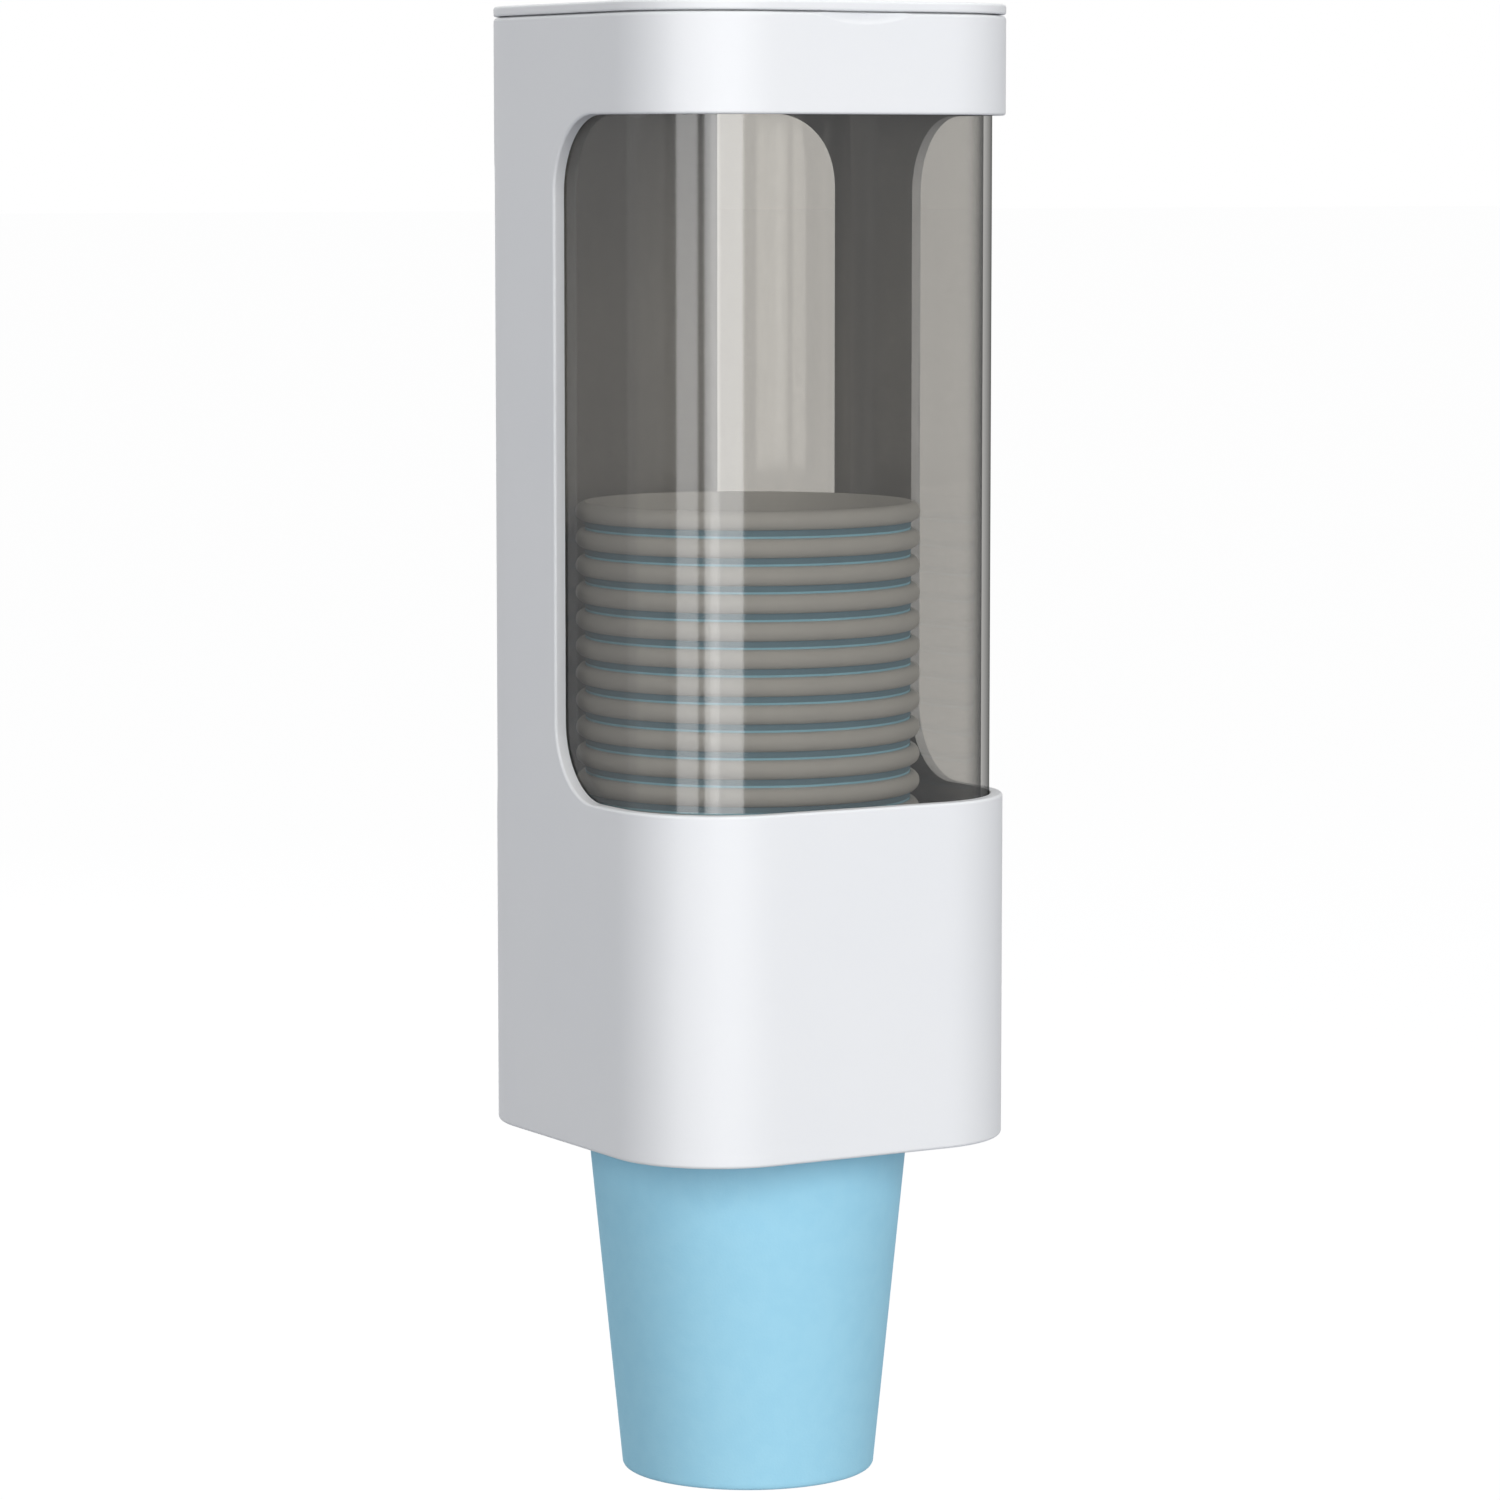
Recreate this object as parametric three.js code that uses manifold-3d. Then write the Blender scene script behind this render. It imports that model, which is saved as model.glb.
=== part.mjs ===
// Wall-hung pull-down cup dispenser: a moulded housing with wrap-around windows, a smoked
// sleeve behind them, a hinged lid, a soft gasket that grips the lowest cup, and its stack of cups.
// Units are millimetres, +Z is up and the front faces -Y. The origin is the middle of the
// bracket's back face, which lies against the wall.
import * as THREE from 'three';
import { mergeVertices } from 'three/addons/utils/BufferGeometryUtils.js';
import Module from 'manifold-3d';

// Fits and counts that every piece shares
const seatGap = 0.3;
const overrun = 1.5;
const cornerSteps = 12;
const mouthSteps = 48;
const scoopSteps = 96;
const smallRoundSteps = 12;

// Paper cups, which everything round them follows: a tapered wall, a rolled rim and a floor
// set above the foot. They nest until only the nest gap is left between their walls.
const cupCount = 23;
const cupHeight = 81.2;
const cupRimRadius = 36.5;
const cupRimRoll = 1.5;
const cupRimHeight = 4;
const cupTaper = 8.1;
const cupWall = 0.3;
const cupNestGap = 0.2714;
const cupFloorGap = 0.6;
const cupFloorThickness = 0.4;
const cupSteps = 16;
const rimRadialShares = [0.22, 0.76, 1, 0.76, 0.34];
const rimHeightShares = [1, 0.9, 0.5, 0.1, 0];
const cupMouthRadius = cupRimRadius - cupRimRoll;
const cupFootRadius = cupMouthRadius - cupTaper;
const cupSlope = cupTaper / cupHeight;
const cupPitch = (cupWall + cupNestGap) / cupSlope;
const cupFloorRise = cupPitch - cupFloorGap - cupFloorThickness;

// Housing: a rounded-square tube round the cups, closed as a block below and as a band above
const cupSideRoom = 3.9;
const cupFrontRoom = 5.9;
const cornerRadius = 24;
const bodyWall = 2.5;
const blockHeight = 72.7;
const frontWindowHeight = 141.9;
const bandHeight = 20.5;
const edgeSoftening = 0.5;
const sleeveWall = 1.8;
const halfWidth = cupRimRadius + cupSideRoom + sleeveWall + seatGap + bodyWall;
const halfDepth = cupRimRadius + cupFrontRoom + sleeveWall + seatGap + bodyWall;
const bodyHeight = blockHeight + frontWindowHeight + bandHeight;

// Windows: the front one wraps both front corners, the rear one both rear corners
const windowCornerRadius = 16;
const windowEdgeRounding = 2.2;
const frontWindowRearEdge = 2.8;
const rearWindowSill = 58.8;
const rearBandHeight = 19.6;
const rearWindowGirth = 97.4;
const windowCornerSteps = 7;
const roundingSteps = 3;

// Finger scoop in the front wall, under the lid
const scoopWidth = 27;
const scoopDrop = 2.6;
const scoopDepth = 1.3;

// Bosses and guide ribs inside the block, which carry the sleeve and the clamp ring
const bossRadius = 3.6;
const bossBite = 0.4;
const pilotDepth = 12;
const ribThickness = 1.8;
const cupRunGap = 1.7;
const rootBite = 0.8;

// Smoked sleeve that slides into the housing from above
const sleeveLap = 8.8;
const sleeveHeadroom = 4.3;

// Wall bracket, with bevelled edges that the housing's claws hook round
const bracketWidth = 40;
const bracketThickness = 4;
const bracketHeadDrop = 9.1;
const bracketFootRise = 12;
const bracketBevel = 2;
const bracketCornerRadius = 3;
const bracketCornerSteps = 4;
const wallHoleRadius = 2.2;
const wallHeadRadius = 4.2;
const wallHeadDepth = 2.4;
const wallHoleInset = 7.5;

// Claws and hanging ledge on the housing's back
const clawHeight = 8;
const clawThickness = 3.4;
const clawWallGap = 0.6;
const lowerClawRise = 30;
const upperClawDrop = 1;
const liftTravel = 14;
const ledgeWidth = 24;
const ledgeHeight = 2.8;

// Lid and its hinge
const lidThickness = 2.1;
const lidSoftening = 0.6;
const lipInset = 3;
const lipWall = 1.6;
const knuckleBodyGap = 0.4;
const knuckleWallGap = 0.5;
const knuckleRise = 0.9;
const knuckleLength = 23.4;
const earLength = 4;
const earDrop = 6.5;
const hingePinRadius = 0.8;
const hingePinHeadRadius = 1.25;
const hingePinHeadLength = 0.7;

// Gasket of soft fingers under the lowest rim, and the ring that clamps it
const clampRecess = 0.2;
const clampThickness = 1.6;
const clampMouthFlare = 1.1;
const gasketThickness = 1.2;
const gasketMargin = 0.7;
const fingerCount = 16;
const fingerLength = 2.9;
const fingerSlit = 1;

// Countersunk screws that hold the clamp ring to the bosses
const screwRadius = 1.3;
const screwHeadRadius = 2.8;
const screwHeadHeight = 1.4;
const screwLength = 11;
const screwTip = 1.2;

// Places that follow from the sizes above, in the housing's own frame:
// x and y from the middle of its plan, z up from its lower edge
const frontWindowTop = blockHeight + frontWindowHeight;
const rearWindowTop = bodyHeight - rearBandHeight;
const clampMouthRadius = cupRimRadius + cupRunGap;
const gasketLow = clampRecess + clampThickness + seatGap;
const gasketTop = gasketLow + gasketThickness;
const bossLow = gasketTop + seatGap;
const lowestRimUnderside = gasketTop + seatGap;
const lowestCupFoot = lowestRimUnderside + cupRimHeight - cupHeight;
const sleeveInset = bodyWall + seatGap;
const sleeveLow = rearWindowSill - sleeveLap;
const bossTop = sleeveLow - seatGap;
const sleeveTop = bodyHeight - sleeveHeadroom;
const lidLow = bodyHeight + seatGap;
const lidTop = lidLow + lidThickness;
const lipLow = sleeveTop + seatGap;
const wallPlane = halfDepth + seatGap + bracketThickness;
const knuckleRadius = (wallPlane - halfDepth - knuckleBodyGap - knuckleWallGap) / 2;
const hingeY = halfDepth + knuckleBodyGap + knuckleRadius;
const hingeZ = lidLow + knuckleRise;
const hingeHoleRadius = hingePinRadius + seatGap;
const bossReach = (cornerRadius - bodyWall - bossRadius + bossBite) * Math.SQRT1_2;
const bossX = halfWidth - cornerRadius + bossReach;
const bossY = halfDepth - cornerRadius + bossReach;
const bracketFront = wallPlane - bracketThickness;
const bracketTop = bodyHeight - bracketHeadDrop;
const bracketLength = bracketTop - bracketFootRise;
const upperClawRise = bracketTop - upperClawDrop - clawHeight;

const wasm = await Module();
wasm.setup();

// Geometry helpers

/** Drops normals and uvs, merges shared points, removes flat triangles and turns faces outward. */
function weld(geometry) {
  const bare = new THREE.BufferGeometry();
  bare.setAttribute('position', geometry.getAttribute('position').clone());
  if (geometry.index) bare.setIndex(geometry.index.clone());
  const merged = mergeVertices(bare, 1e-4);
  const { array } = merged.index;
  const position = merged.getAttribute('position');
  const kept = [];
  const [a, b, c] = [new THREE.Vector3(), new THREE.Vector3(), new THREE.Vector3()];
  let volume = 0;
  for (let i = 0; i < array.length; i += 3) {
    const [p, q, r] = [array[i], array[i + 1], array[i + 2]];
    if (p === q || q === r || r === p) continue;
    kept.push([p, q, r]);
    a.fromBufferAttribute(position, p);
    b.fromBufferAttribute(position, q);
    c.fromBufferAttribute(position, r);
    volume += a.dot(b.cross(c));
  }
  const faces = volume < 0 ? kept.map(([p, q, r]) => [p, r, q]) : kept;
  merged.setIndex(faces.flat());
  return merged;
}

/** Makes a solid that can be joined and cut. */
function solid(geometry) {
  const welded = weld(geometry);
  const vertProperties = new Float32Array(welded.getAttribute('position').array);
  const triVerts = new Uint32Array(welded.index.array);
  return new wasm.Manifold(new wasm.Mesh({ numProp: 3, vertProperties, triVerts }));
}

/** Gives a solid back as three.js geometry. */
function geometryOf(shape) {
  const mesh = shape.getMesh();
  const geometry = new THREE.BufferGeometry();
  geometry.setAttribute('position', new THREE.BufferAttribute(mesh.vertProperties, mesh.numProp));
  geometry.setIndex(new THREE.BufferAttribute(mesh.triVerts, 1));
  return geometry;
}

const join = (first, ...others) => others.reduce((sum, other) => sum.add(other), first);
const cut = (first, ...others) => others.reduce((rest, other) => rest.subtract(other), first);

/** Rounded rectangle, anticlockwise from above, the same number of points at any size. */
function roundedOutline(halfX, halfY, radius, steps) {
  const points = [];
  for (let corner = 0; corner < 4; corner += 1) {
    const signX = corner === 0 || corner === 3 ? 1 : -1;
    const signY = corner < 2 ? 1 : -1;
    for (let step = 0; step <= steps; step += 1) {
      const angle = (corner + step / steps) * Math.PI / 2;
      const x = signX * (halfX - radius) + radius * Math.cos(angle);
      const y = signY * (halfY - radius) + radius * Math.sin(angle);
      points.push(new THREE.Vector2(x, y));
    }
  }
  return points;
}

const bodyOutline = (inset) => (
  roundedOutline(halfWidth - inset, halfDepth - inset, cornerRadius - inset, cornerSteps)
);

/** Closed mesh through rings of points: sides between them, and the given cap at both ends. */
function skin(rings, cap) {
  const count = rings[0].length;
  const vertices = rings.flat(2);
  const faces = [];
  for (let ring = 0; ring + 1 < rings.length; ring += 1) {
    for (let i = 0; i < count; i += 1) {
      const next = (i + 1) % count;
      const [low, high] = [ring * count, (ring + 1) * count];
      faces.push(low + i, low + next, high + next, low + i, high + next, high + i);
    }
  }
  const last = (rings.length - 1) * count;
  for (const [p, q, r] of cap) faces.push(p, r, q, last + p, last + q, last + r);
  const geometry = new THREE.BufferGeometry();
  geometry.setAttribute('position', new THREE.Float32BufferAttribute(vertices, 3));
  geometry.setIndex(faces);
  return geometry;
}

/** Stacks the body's outline at each [inset, z] level. */
function bodyLoft(levels) {
  const rings = levels.map(([inset, z]) => bodyOutline(inset).map(({ x, y }) => [x, y, z]));
  const fan = [];
  for (let i = 1; i + 1 < rings[0].length; i += 1) fan.push([0, i, i + 1]);
  return solid(skin(rings, fan));
}

/** Tube of the body's outline between two insets. */
function bodyTube(outerInset, innerInset, low, high) {
  const inner = bodyLoft([[innerInset, low - overrun], [innerInset, high + overrun]]);
  return cut(bodyLoft([[outerInset, low], [outerInset, high]]), inner);
}

function box(lowCorner, highCorner) {
  const low = new THREE.Vector3(...lowCorner);
  const size = new THREE.Vector3(...highCorner).sub(low);
  const geometry = new THREE.BoxGeometry(size.x, size.y, size.z);
  const centre = size.multiplyScalar(1 / 2).add(low);
  return solid(geometry.translate(centre.x, centre.y, centre.z));
}

/** Turned piece about +Z from [radius, z] points. */
function turned(profile, steps) {
  const points = profile.map(([radius, z]) => new THREE.Vector2(radius, z));
  return new THREE.LatheGeometry(points, steps).rotateX(Math.PI / 2);
}

/** Outline in x and y, drawn up along +Z from low to high. */
function upright(shape, low, high) {
  const geometry = new THREE.ExtrudeGeometry(shape, { depth: high - low, bevelEnabled: false });
  return solid(geometry.translate(0, 0, low));
}

/** Outline in y and z, drawn along X between two places. */
function crosswise(shape, fromX, toX) {
  const geometry = new THREE.ExtrudeGeometry(shape, {
    depth: toX - fromX, bevelEnabled: false, curveSegments: smallRoundSteps / 2,
  });
  const turn = new THREE.Matrix4().makeBasis(
    new THREE.Vector3(0, 1, 0), new THREE.Vector3(0, 0, 1), new THREE.Vector3(1, 0, 0),
  );
  return solid(geometry.applyMatrix4(turn).translate(fromX, 0, 0));
}

/** The four bosses' places. */
const bossPlaces = [[1, 1], [-1, 1], [-1, -1], [1, -1]].map(([x, y]) => [x * bossX, y * bossY]);

// Windows

/** Place on the body's surface, a girth u from the middle of the front and an offset outward. */
function onBody(u, offset, z) {
  const side = Math.sign(u) || 1;
  const flat = halfWidth - cornerRadius;
  const bend = cornerRadius * Math.PI / 2;
  const along = Math.abs(u);
  if (along <= flat) return [u, -halfDepth - offset, z];
  if (along <= flat + bend) {
    const angle = (along - flat) / cornerRadius;
    const radius = cornerRadius + offset;
    const x = flat + radius * Math.sin(angle);
    return [side * x, -(halfDepth - cornerRadius) - radius * Math.cos(angle), z];
  }
  return [side * (halfWidth + offset), along - flat - bend - (halfDepth - cornerRadius), z];
}

/** One half of a window's upper outline, from its end to the middle, with outward directions. */
function windowEdge(halfGirth, top) {
  const stations = [];
  const shoulder = halfGirth - windowCornerRadius;
  for (let step = 0; step <= windowCornerSteps; step += 1) {
    const angle = step / windowCornerSteps * Math.PI / 2;
    stations.push({
      u: shoulder + windowCornerRadius * Math.cos(angle),
      z: top - windowCornerRadius + windowCornerRadius * Math.sin(angle),
      outU: Math.cos(angle),
      outZ: Math.sin(angle),
    });
  }
  const flat = halfWidth - cornerRadius;
  const bendSteps = cornerSteps;
  for (let step = bendSteps; step >= 0; step -= 1) {
    const u = flat + cornerRadius * (Math.PI / 2) * step / bendSteps;
    if (u < shoulder) stations.push({ u, z: top, outU: 0, outZ: 1 });
  }
  return stations;
}

/** Cutter for a window that wraps round the body, flared so that its outer edge is rounded. */
function windowCutter(halfGirth, low, top, facesRear) {
  const half = windowEdge(halfGirth, top);
  const mirrored = half.map(({ u, z, outU, outZ }) => ({ u: -u, z, outU: -outU, outZ })).reverse();
  const upper = [...half, ...mirrored];
  const lower = upper.map(({ u, z, outU, outZ }) => ({ u, z: low + top - z, outU, outZ: -outZ })).reverse();
  const levels = [[-bodyWall - overrun, 0]];
  for (let step = 0; step <= roundingSteps; step += 1) {
    const angle = step / roundingSteps * Math.PI / 2;
    levels.push([-windowEdgeRounding * (1 - Math.sin(angle)), windowEdgeRounding * (1 - Math.cos(angle))]);
  }
  levels.push([overrun, windowEdgeRounding]);
  const rings = levels.map(([offset, flare]) => [...upper, ...lower].map(({ u, z, outU, outZ }) => {
    const [x, y, height] = onBody(u + outU * flare, offset, z + outZ * flare);
    return [x, facesRear ? -y : y, height];
  }));
  const ladder = [];
  const count = upper.length;
  for (let i = 0; i + 1 < count; i += 1) {
    const [topHere, topNext] = [i, i + 1];
    const [lowHere, lowNext] = [2 * count - 1 - i, 2 * count - 2 - i];
    ladder.push([topHere, topNext, lowNext], [topHere, lowNext, lowHere]);
  }
  return solid(skin(rings, ladder));
}

/** Shallow scoop that a fingertip finds under the lid. */
function fingerScoop() {
  const radius = (scoopWidth ** 2 / 4 + scoopDrop ** 2) / (2 * scoopDrop);
  const depth = scoopDepth + overrun;
  const disc = new THREE.CylinderGeometry(radius, radius, depth, scoopSteps);
  return solid(disc.translate(0, -halfDepth + scoopDepth - depth / 2, bodyHeight - scoopDrop + radius));
}

// Pieces

/** Claw with an undercut that runs parallel to the bracket's bevelled edge. */
function claw(side, low) {
  const lean = bracketBevel / bracketThickness;
  const slack = seatGap * Math.hypot(1, lean);
  const innerAt = (y) => bracketWidth / 2 + slack - lean * (y - bracketFront);
  const root = halfDepth - rootBite;
  const tip = wallPlane - clawWallGap;
  const outer = bracketWidth / 2 + clawThickness;
  const outline = new THREE.Shape([
    new THREE.Vector2(side * innerAt(halfDepth), root),
    new THREE.Vector2(side * outer, root),
    new THREE.Vector2(side * outer, tip - clawWallGap),
    new THREE.Vector2(side * (outer - clawWallGap), tip),
    new THREE.Vector2(side * innerAt(tip), tip),
    new THREE.Vector2(side * innerAt(halfDepth), halfDepth),
  ]);
  return upright(outline, low, low + clawHeight);
}

/** Ear on the housing's back that holds one end of the hinge pin. */
function hingeEar(fromX, toX) {
  const outline = new THREE.Shape();
  outline.moveTo(halfDepth - rootBite, hingeZ - earDrop - knuckleRadius);
  outline.lineTo(halfDepth, hingeZ - earDrop - knuckleRadius);
  outline.lineTo(hingeY + knuckleRadius, hingeZ - earDrop / 2 - knuckleRadius);
  outline.lineTo(hingeY + knuckleRadius, hingeZ);
  outline.absarc(hingeY, hingeZ, knuckleRadius, 0, Math.PI, false);
  outline.lineTo(hingeY - knuckleRadius, bodyHeight - edgeSoftening);
  outline.lineTo(halfDepth - rootBite, bodyHeight - edgeSoftening);
  return crosswise(outline, fromX, toX);
}

/** Round bar or bore along X on the hinge axis. */
function hingeBar(radius, fromX, toX) {
  const outline = new THREE.Shape();
  outline.absarc(hingeY, hingeZ, radius, 0, 2 * Math.PI, false);
  return crosswise(outline, fromX, toX);
}

function makeHousing() {
  const soft = edgeSoftening;
  const outer = bodyLoft([[soft, 0], [0, soft], [0, bodyHeight - soft], [soft, bodyHeight]]);
  const inner = bodyLoft([[bodyWall, -overrun], [bodyWall, bodyHeight + overrun]]);
  const frontHalfGirth = halfWidth - cornerRadius + cornerRadius * Math.PI / 2
    + halfDepth - cornerRadius + frontWindowRearEdge;
  const shell = cut(
    outer, inner,
    windowCutter(frontHalfGirth, blockHeight, frontWindowTop, false),
    windowCutter(rearWindowGirth / 2, rearWindowSill, rearWindowTop, true),
    fingerScoop(),
  );

  const bossProfile = [[0, bossLow], [bossRadius, bossLow], [bossRadius, bossTop], [0, bossTop]];
  const bosses = bossPlaces.map(([x, y]) => solid(turned(bossProfile, smallRoundSteps).translate(x, y, 0)));
  const ribReach = cupRimRadius + cupRunGap;
  const halfRib = ribThickness / 2;
  const ribs = [-1, 1].flatMap((side) => {
    const [nearX, farX] = [side * ribReach, side * (halfWidth - bodyWall + rootBite)].sort((a, b) => a - b);
    const [nearY, farY] = [side * ribReach, side * (halfDepth - bodyWall + rootBite)].sort((a, b) => a - b);
    return [
      box([nearX, -halfRib, bossLow], [farX, halfRib, bossTop]),
      box([-halfRib, nearY, bossLow], [halfRib, farY, bossTop]),
    ];
  });
  const claws = [lowerClawRise, upperClawRise].flatMap((low) => [claw(-1, low), claw(1, low)]);
  const ledgeLow = bracketTop + seatGap;
  const ledge = box(
    [-ledgeWidth / 2, halfDepth - rootBite, ledgeLow],
    [ledgeWidth / 2, wallPlane - clawWallGap, ledgeLow + ledgeHeight],
  );
  const earStart = knuckleLength / 2 + seatGap;
  const ears = [[-earStart - earLength, -earStart], [earStart, earStart + earLength]]
    .map(([fromX, toX]) => hingeEar(fromX, toX));
  const pilots = bossPlaces.map(([x, y]) => {
    const radius = screwRadius + seatGap;
    const [low, high] = [bossLow - overrun, bossLow + pilotDepth];
    const bore = turned([[0, low], [radius, low], [radius, high], [0, high]], smallRoundSteps);
    return solid(bore.translate(x, y, 0));
  });
  const hingeReach = earStart + earLength + overrun;
  return cut(
    join(shell, ...bosses, ...ribs, ...claws, ledge, ...ears),
    ...pilots,
    hingeBar(hingeHoleRadius, -hingeReach, hingeReach),
  );
}

function makeSleeve() {
  return bodyTube(sleeveInset, sleeveInset + sleeveWall, sleeveLow, sleeveTop);
}

function makeLid() {
  const soft = lidSoftening;
  const plate = bodyLoft([[soft / 2, lidLow], [0, lidLow + soft / 2], [0, lidTop - soft], [soft, lidTop]]);
  const lip = bodyTube(lipInset, lipInset + lipWall, lipLow, lidLow + lidThickness / 2);
  const halfKnuckle = knuckleLength / 2;
  const knuckle = hingeBar(knuckleRadius, -halfKnuckle, halfKnuckle);
  const web = box([-halfKnuckle, halfDepth - cornerRadius / 2, lidLow], [halfKnuckle, hingeY, lidTop - soft]);
  const bore = hingeBar(hingeHoleRadius, -halfKnuckle - overrun, halfKnuckle + overrun);
  return cut(join(plate, lip, knuckle, web), bore);
}

/** Headed pin, turned about Z and laid along X. */
function makeHingePin() {
  const reach = knuckleLength / 2 + seatGap + earLength + seatGap;
  const head = reach + hingePinHeadLength;
  const profile = [
    [0, -head], [hingePinRadius, -head], [hingePinRadius, reach],
    [hingePinHeadRadius, reach], [hingePinHeadRadius, head], [0, head],
  ];
  return weld(turned(profile, smallRoundSteps).rotateY(Math.PI / 2));
}

function makeClampRing() {
  const [low, high] = [clampRecess, clampRecess + clampThickness];
  const plate = bodyLoft([[bodyWall + seatGap, low], [bodyWall + seatGap, high]]);
  const flared = clampMouthRadius + clampMouthFlare;
  const mouth = solid(turned([
    [0, low - overrun], [flared, low - overrun], [flared, low],
    [clampMouthRadius, low + clampMouthFlare], [clampMouthRadius, high + overrun], [0, high + overrun],
  ], mouthSteps));
  const sinks = bossPlaces.map(([x, y]) => {
    const head = screwHeadRadius + seatGap;
    const shank = screwRadius + seatGap;
    const sink = turned([
      [0, low - overrun], [head, low - overrun], [head, low], [shank, low + screwHeadHeight],
      [shank, high + overrun], [0, high + overrun],
    ], smallRoundSteps);
    return solid(sink.translate(x, y, 0));
  });
  return cut(plate, mouth, ...sinks);
}

/** Soft plate whose round mouth is slit into fingers that reach under the lowest rim. */
function makeGasket() {
  const outline = new THREE.Shape(bodyOutline(bodyWall + gasketMargin));
  const tipRadius = cupFootRadius + cupSlope * (gasketTop - lowestCupFoot) + seatGap;
  const rootRadius = tipRadius + fingerLength;
  const mouth = [];
  for (let finger = 0; finger < fingerCount; finger += 1) {
    const start = finger * 2 * Math.PI / fingerCount;
    const end = start + 2 * Math.PI / fingerCount;
    const middle = (start + end) / 2;
    const tipSlit = fingerSlit / 2 / tipRadius;
    const rootSlit = fingerSlit / 2 / rootRadius;
    const places = [
      [rootRadius, start + rootSlit], [tipRadius, start + tipSlit], [tipRadius, middle],
      [tipRadius, end - tipSlit], [rootRadius, end - rootSlit],
    ];
    for (const [radius, angle] of places) {
      mouth.push(new THREE.Vector2(radius * Math.cos(angle), radius * Math.sin(angle)));
    }
  }
  outline.holes.push(new THREE.Path(mouth));
  for (const [x, y] of bossPlaces) {
    const hole = new THREE.Path();
    hole.absarc(x, y, screwRadius + seatGap, 0, 2 * Math.PI, true);
    outline.holes.push(hole);
  }
  const geometry = new THREE.ExtrudeGeometry(outline, {
    depth: gasketThickness, bevelEnabled: false, curveSegments: smallRoundSteps / 2,
  });
  return weld(geometry.translate(0, 0, gasketLow));
}

/** Countersunk screw, head downward, in its own frame with the head's face at zero. */
function makeRingScrew() {
  const shoulder = screwLength - screwTip;
  return weld(turned([
    [0, 0], [screwHeadRadius, 0], [screwRadius, screwHeadHeight],
    [screwRadius, shoulder], [screwRadius / 2, screwLength], [0, screwLength],
  ], smallRoundSteps));
}

/** Cup in its own frame, foot at zero. */
function makeCup() {
  const wallAt = (z) => cupFootRadius + cupSlope * z;
  const rimLow = cupHeight - cupRimHeight;
  const rimInner = wallAt(rimLow);
  const rim = rimRadialShares.map((share, i) => [
    rimInner + share * (cupRimRadius - rimInner), rimLow + rimHeightShares[i] * cupRimHeight,
  ]);
  const floorTop = cupFloorRise + cupFloorThickness;
  const lipStart = cupHeight - cupRimHeight * rimRadialShares[0];
  return weld(turned([
    [0, floorTop], [wallAt(floorTop) - cupWall, floorTop], [wallAt(lipStart) - cupWall, lipStart],
    ...rim, [rimInner, rimLow],
    [cupFootRadius, 0], [cupFootRadius - cupWall, 0],
    [wallAt(cupFloorRise) - cupWall, cupFloorRise], [0, cupFloorRise],
  ], cupSteps));
}

/** Bevelled bracket in the wall's frame: back face at y = 0, middle at z = 0. */
function makeBracket() {
  const [halfSpan, halfLength] = [bracketWidth / 2, bracketLength / 2];
  const section = new THREE.Shape([
    new THREE.Vector2(-halfSpan, -bracketThickness), new THREE.Vector2(halfSpan, -bracketThickness),
    new THREE.Vector2(halfSpan - bracketBevel, 0), new THREE.Vector2(-halfSpan + bracketBevel, 0),
  ]);
  const bar = upright(section, -halfLength, halfLength);
  const face = roundedOutline(halfSpan, halfLength, bracketCornerRadius, bracketCornerSteps);
  const faceDepth = bracketThickness + 2 * overrun;
  const blank = new THREE.ExtrudeGeometry(new THREE.Shape(face), { depth: faceDepth, bevelEnabled: false });
  const rounded = bar.intersect(solid(blank.rotateX(Math.PI / 2).translate(0, overrun, 0)));

  const sinkProfile = [
    [0, -overrun], [wallHeadRadius, -overrun], [wallHeadRadius, 0], [wallHoleRadius, wallHeadDepth],
    [wallHoleRadius, bracketThickness + overrun], [0, bracketThickness + overrun],
  ];
  const sinks = [-1, 1].map((end) => {
    const sink = turned(sinkProfile, smallRoundSteps).rotateX(-Math.PI / 2);
    return solid(sink.translate(0, -bracketThickness, end * (halfLength - wallHoleInset)));
  });
  const middle = bracketFootRise + halfLength;
  const notchLow = lowerClawRise + liftTravel - seatGap - middle;
  const notchHigh = notchLow + clawHeight + 2 * seatGap;
  const notchInner = halfSpan - bracketBevel;
  const notches = [[-halfSpan - overrun, -notchInner], [notchInner, halfSpan + overrun]]
    .map(([fromX, toX]) => box([fromX, -bracketThickness - overrun, notchLow], [toX, overrun, notchHigh]));
  return cut(rounded, ...sinks, ...notches);
}

// Finishes

const whitePlastic = () => new THREE.MeshStandardMaterial({ color: 0xe9ecee, roughness: 0.32, metalness: 0 });
const smokedPlastic = () => new THREE.MeshStandardMaterial({
  color: 0x6f6d69, roughness: 0.08, metalness: 0, transparent: true, opacity: 0.45,
});
const steel = () => new THREE.MeshStandardMaterial({ color: 0xb9bcc0, roughness: 0.3, metalness: 1 });
const softRubber = () => new THREE.MeshStandardMaterial({ color: 0xd8d9d8, roughness: 0.7, metalness: 0 });
const bluePaper = () => new THREE.MeshStandardMaterial({ color: 0x9fd3eb, roughness: 0.6, metalness: 0 });

/** Names a piece and puts it in its group. */
function place(group, name, geometry, material) {
  const mesh = new THREE.Mesh(geometry, material);
  mesh.name = name;
  group.add(mesh);
  return mesh;
}

const model = new THREE.Group();
place(model, 'wall_bracket', geometryOf(makeBracket()), whitePlastic());

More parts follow.
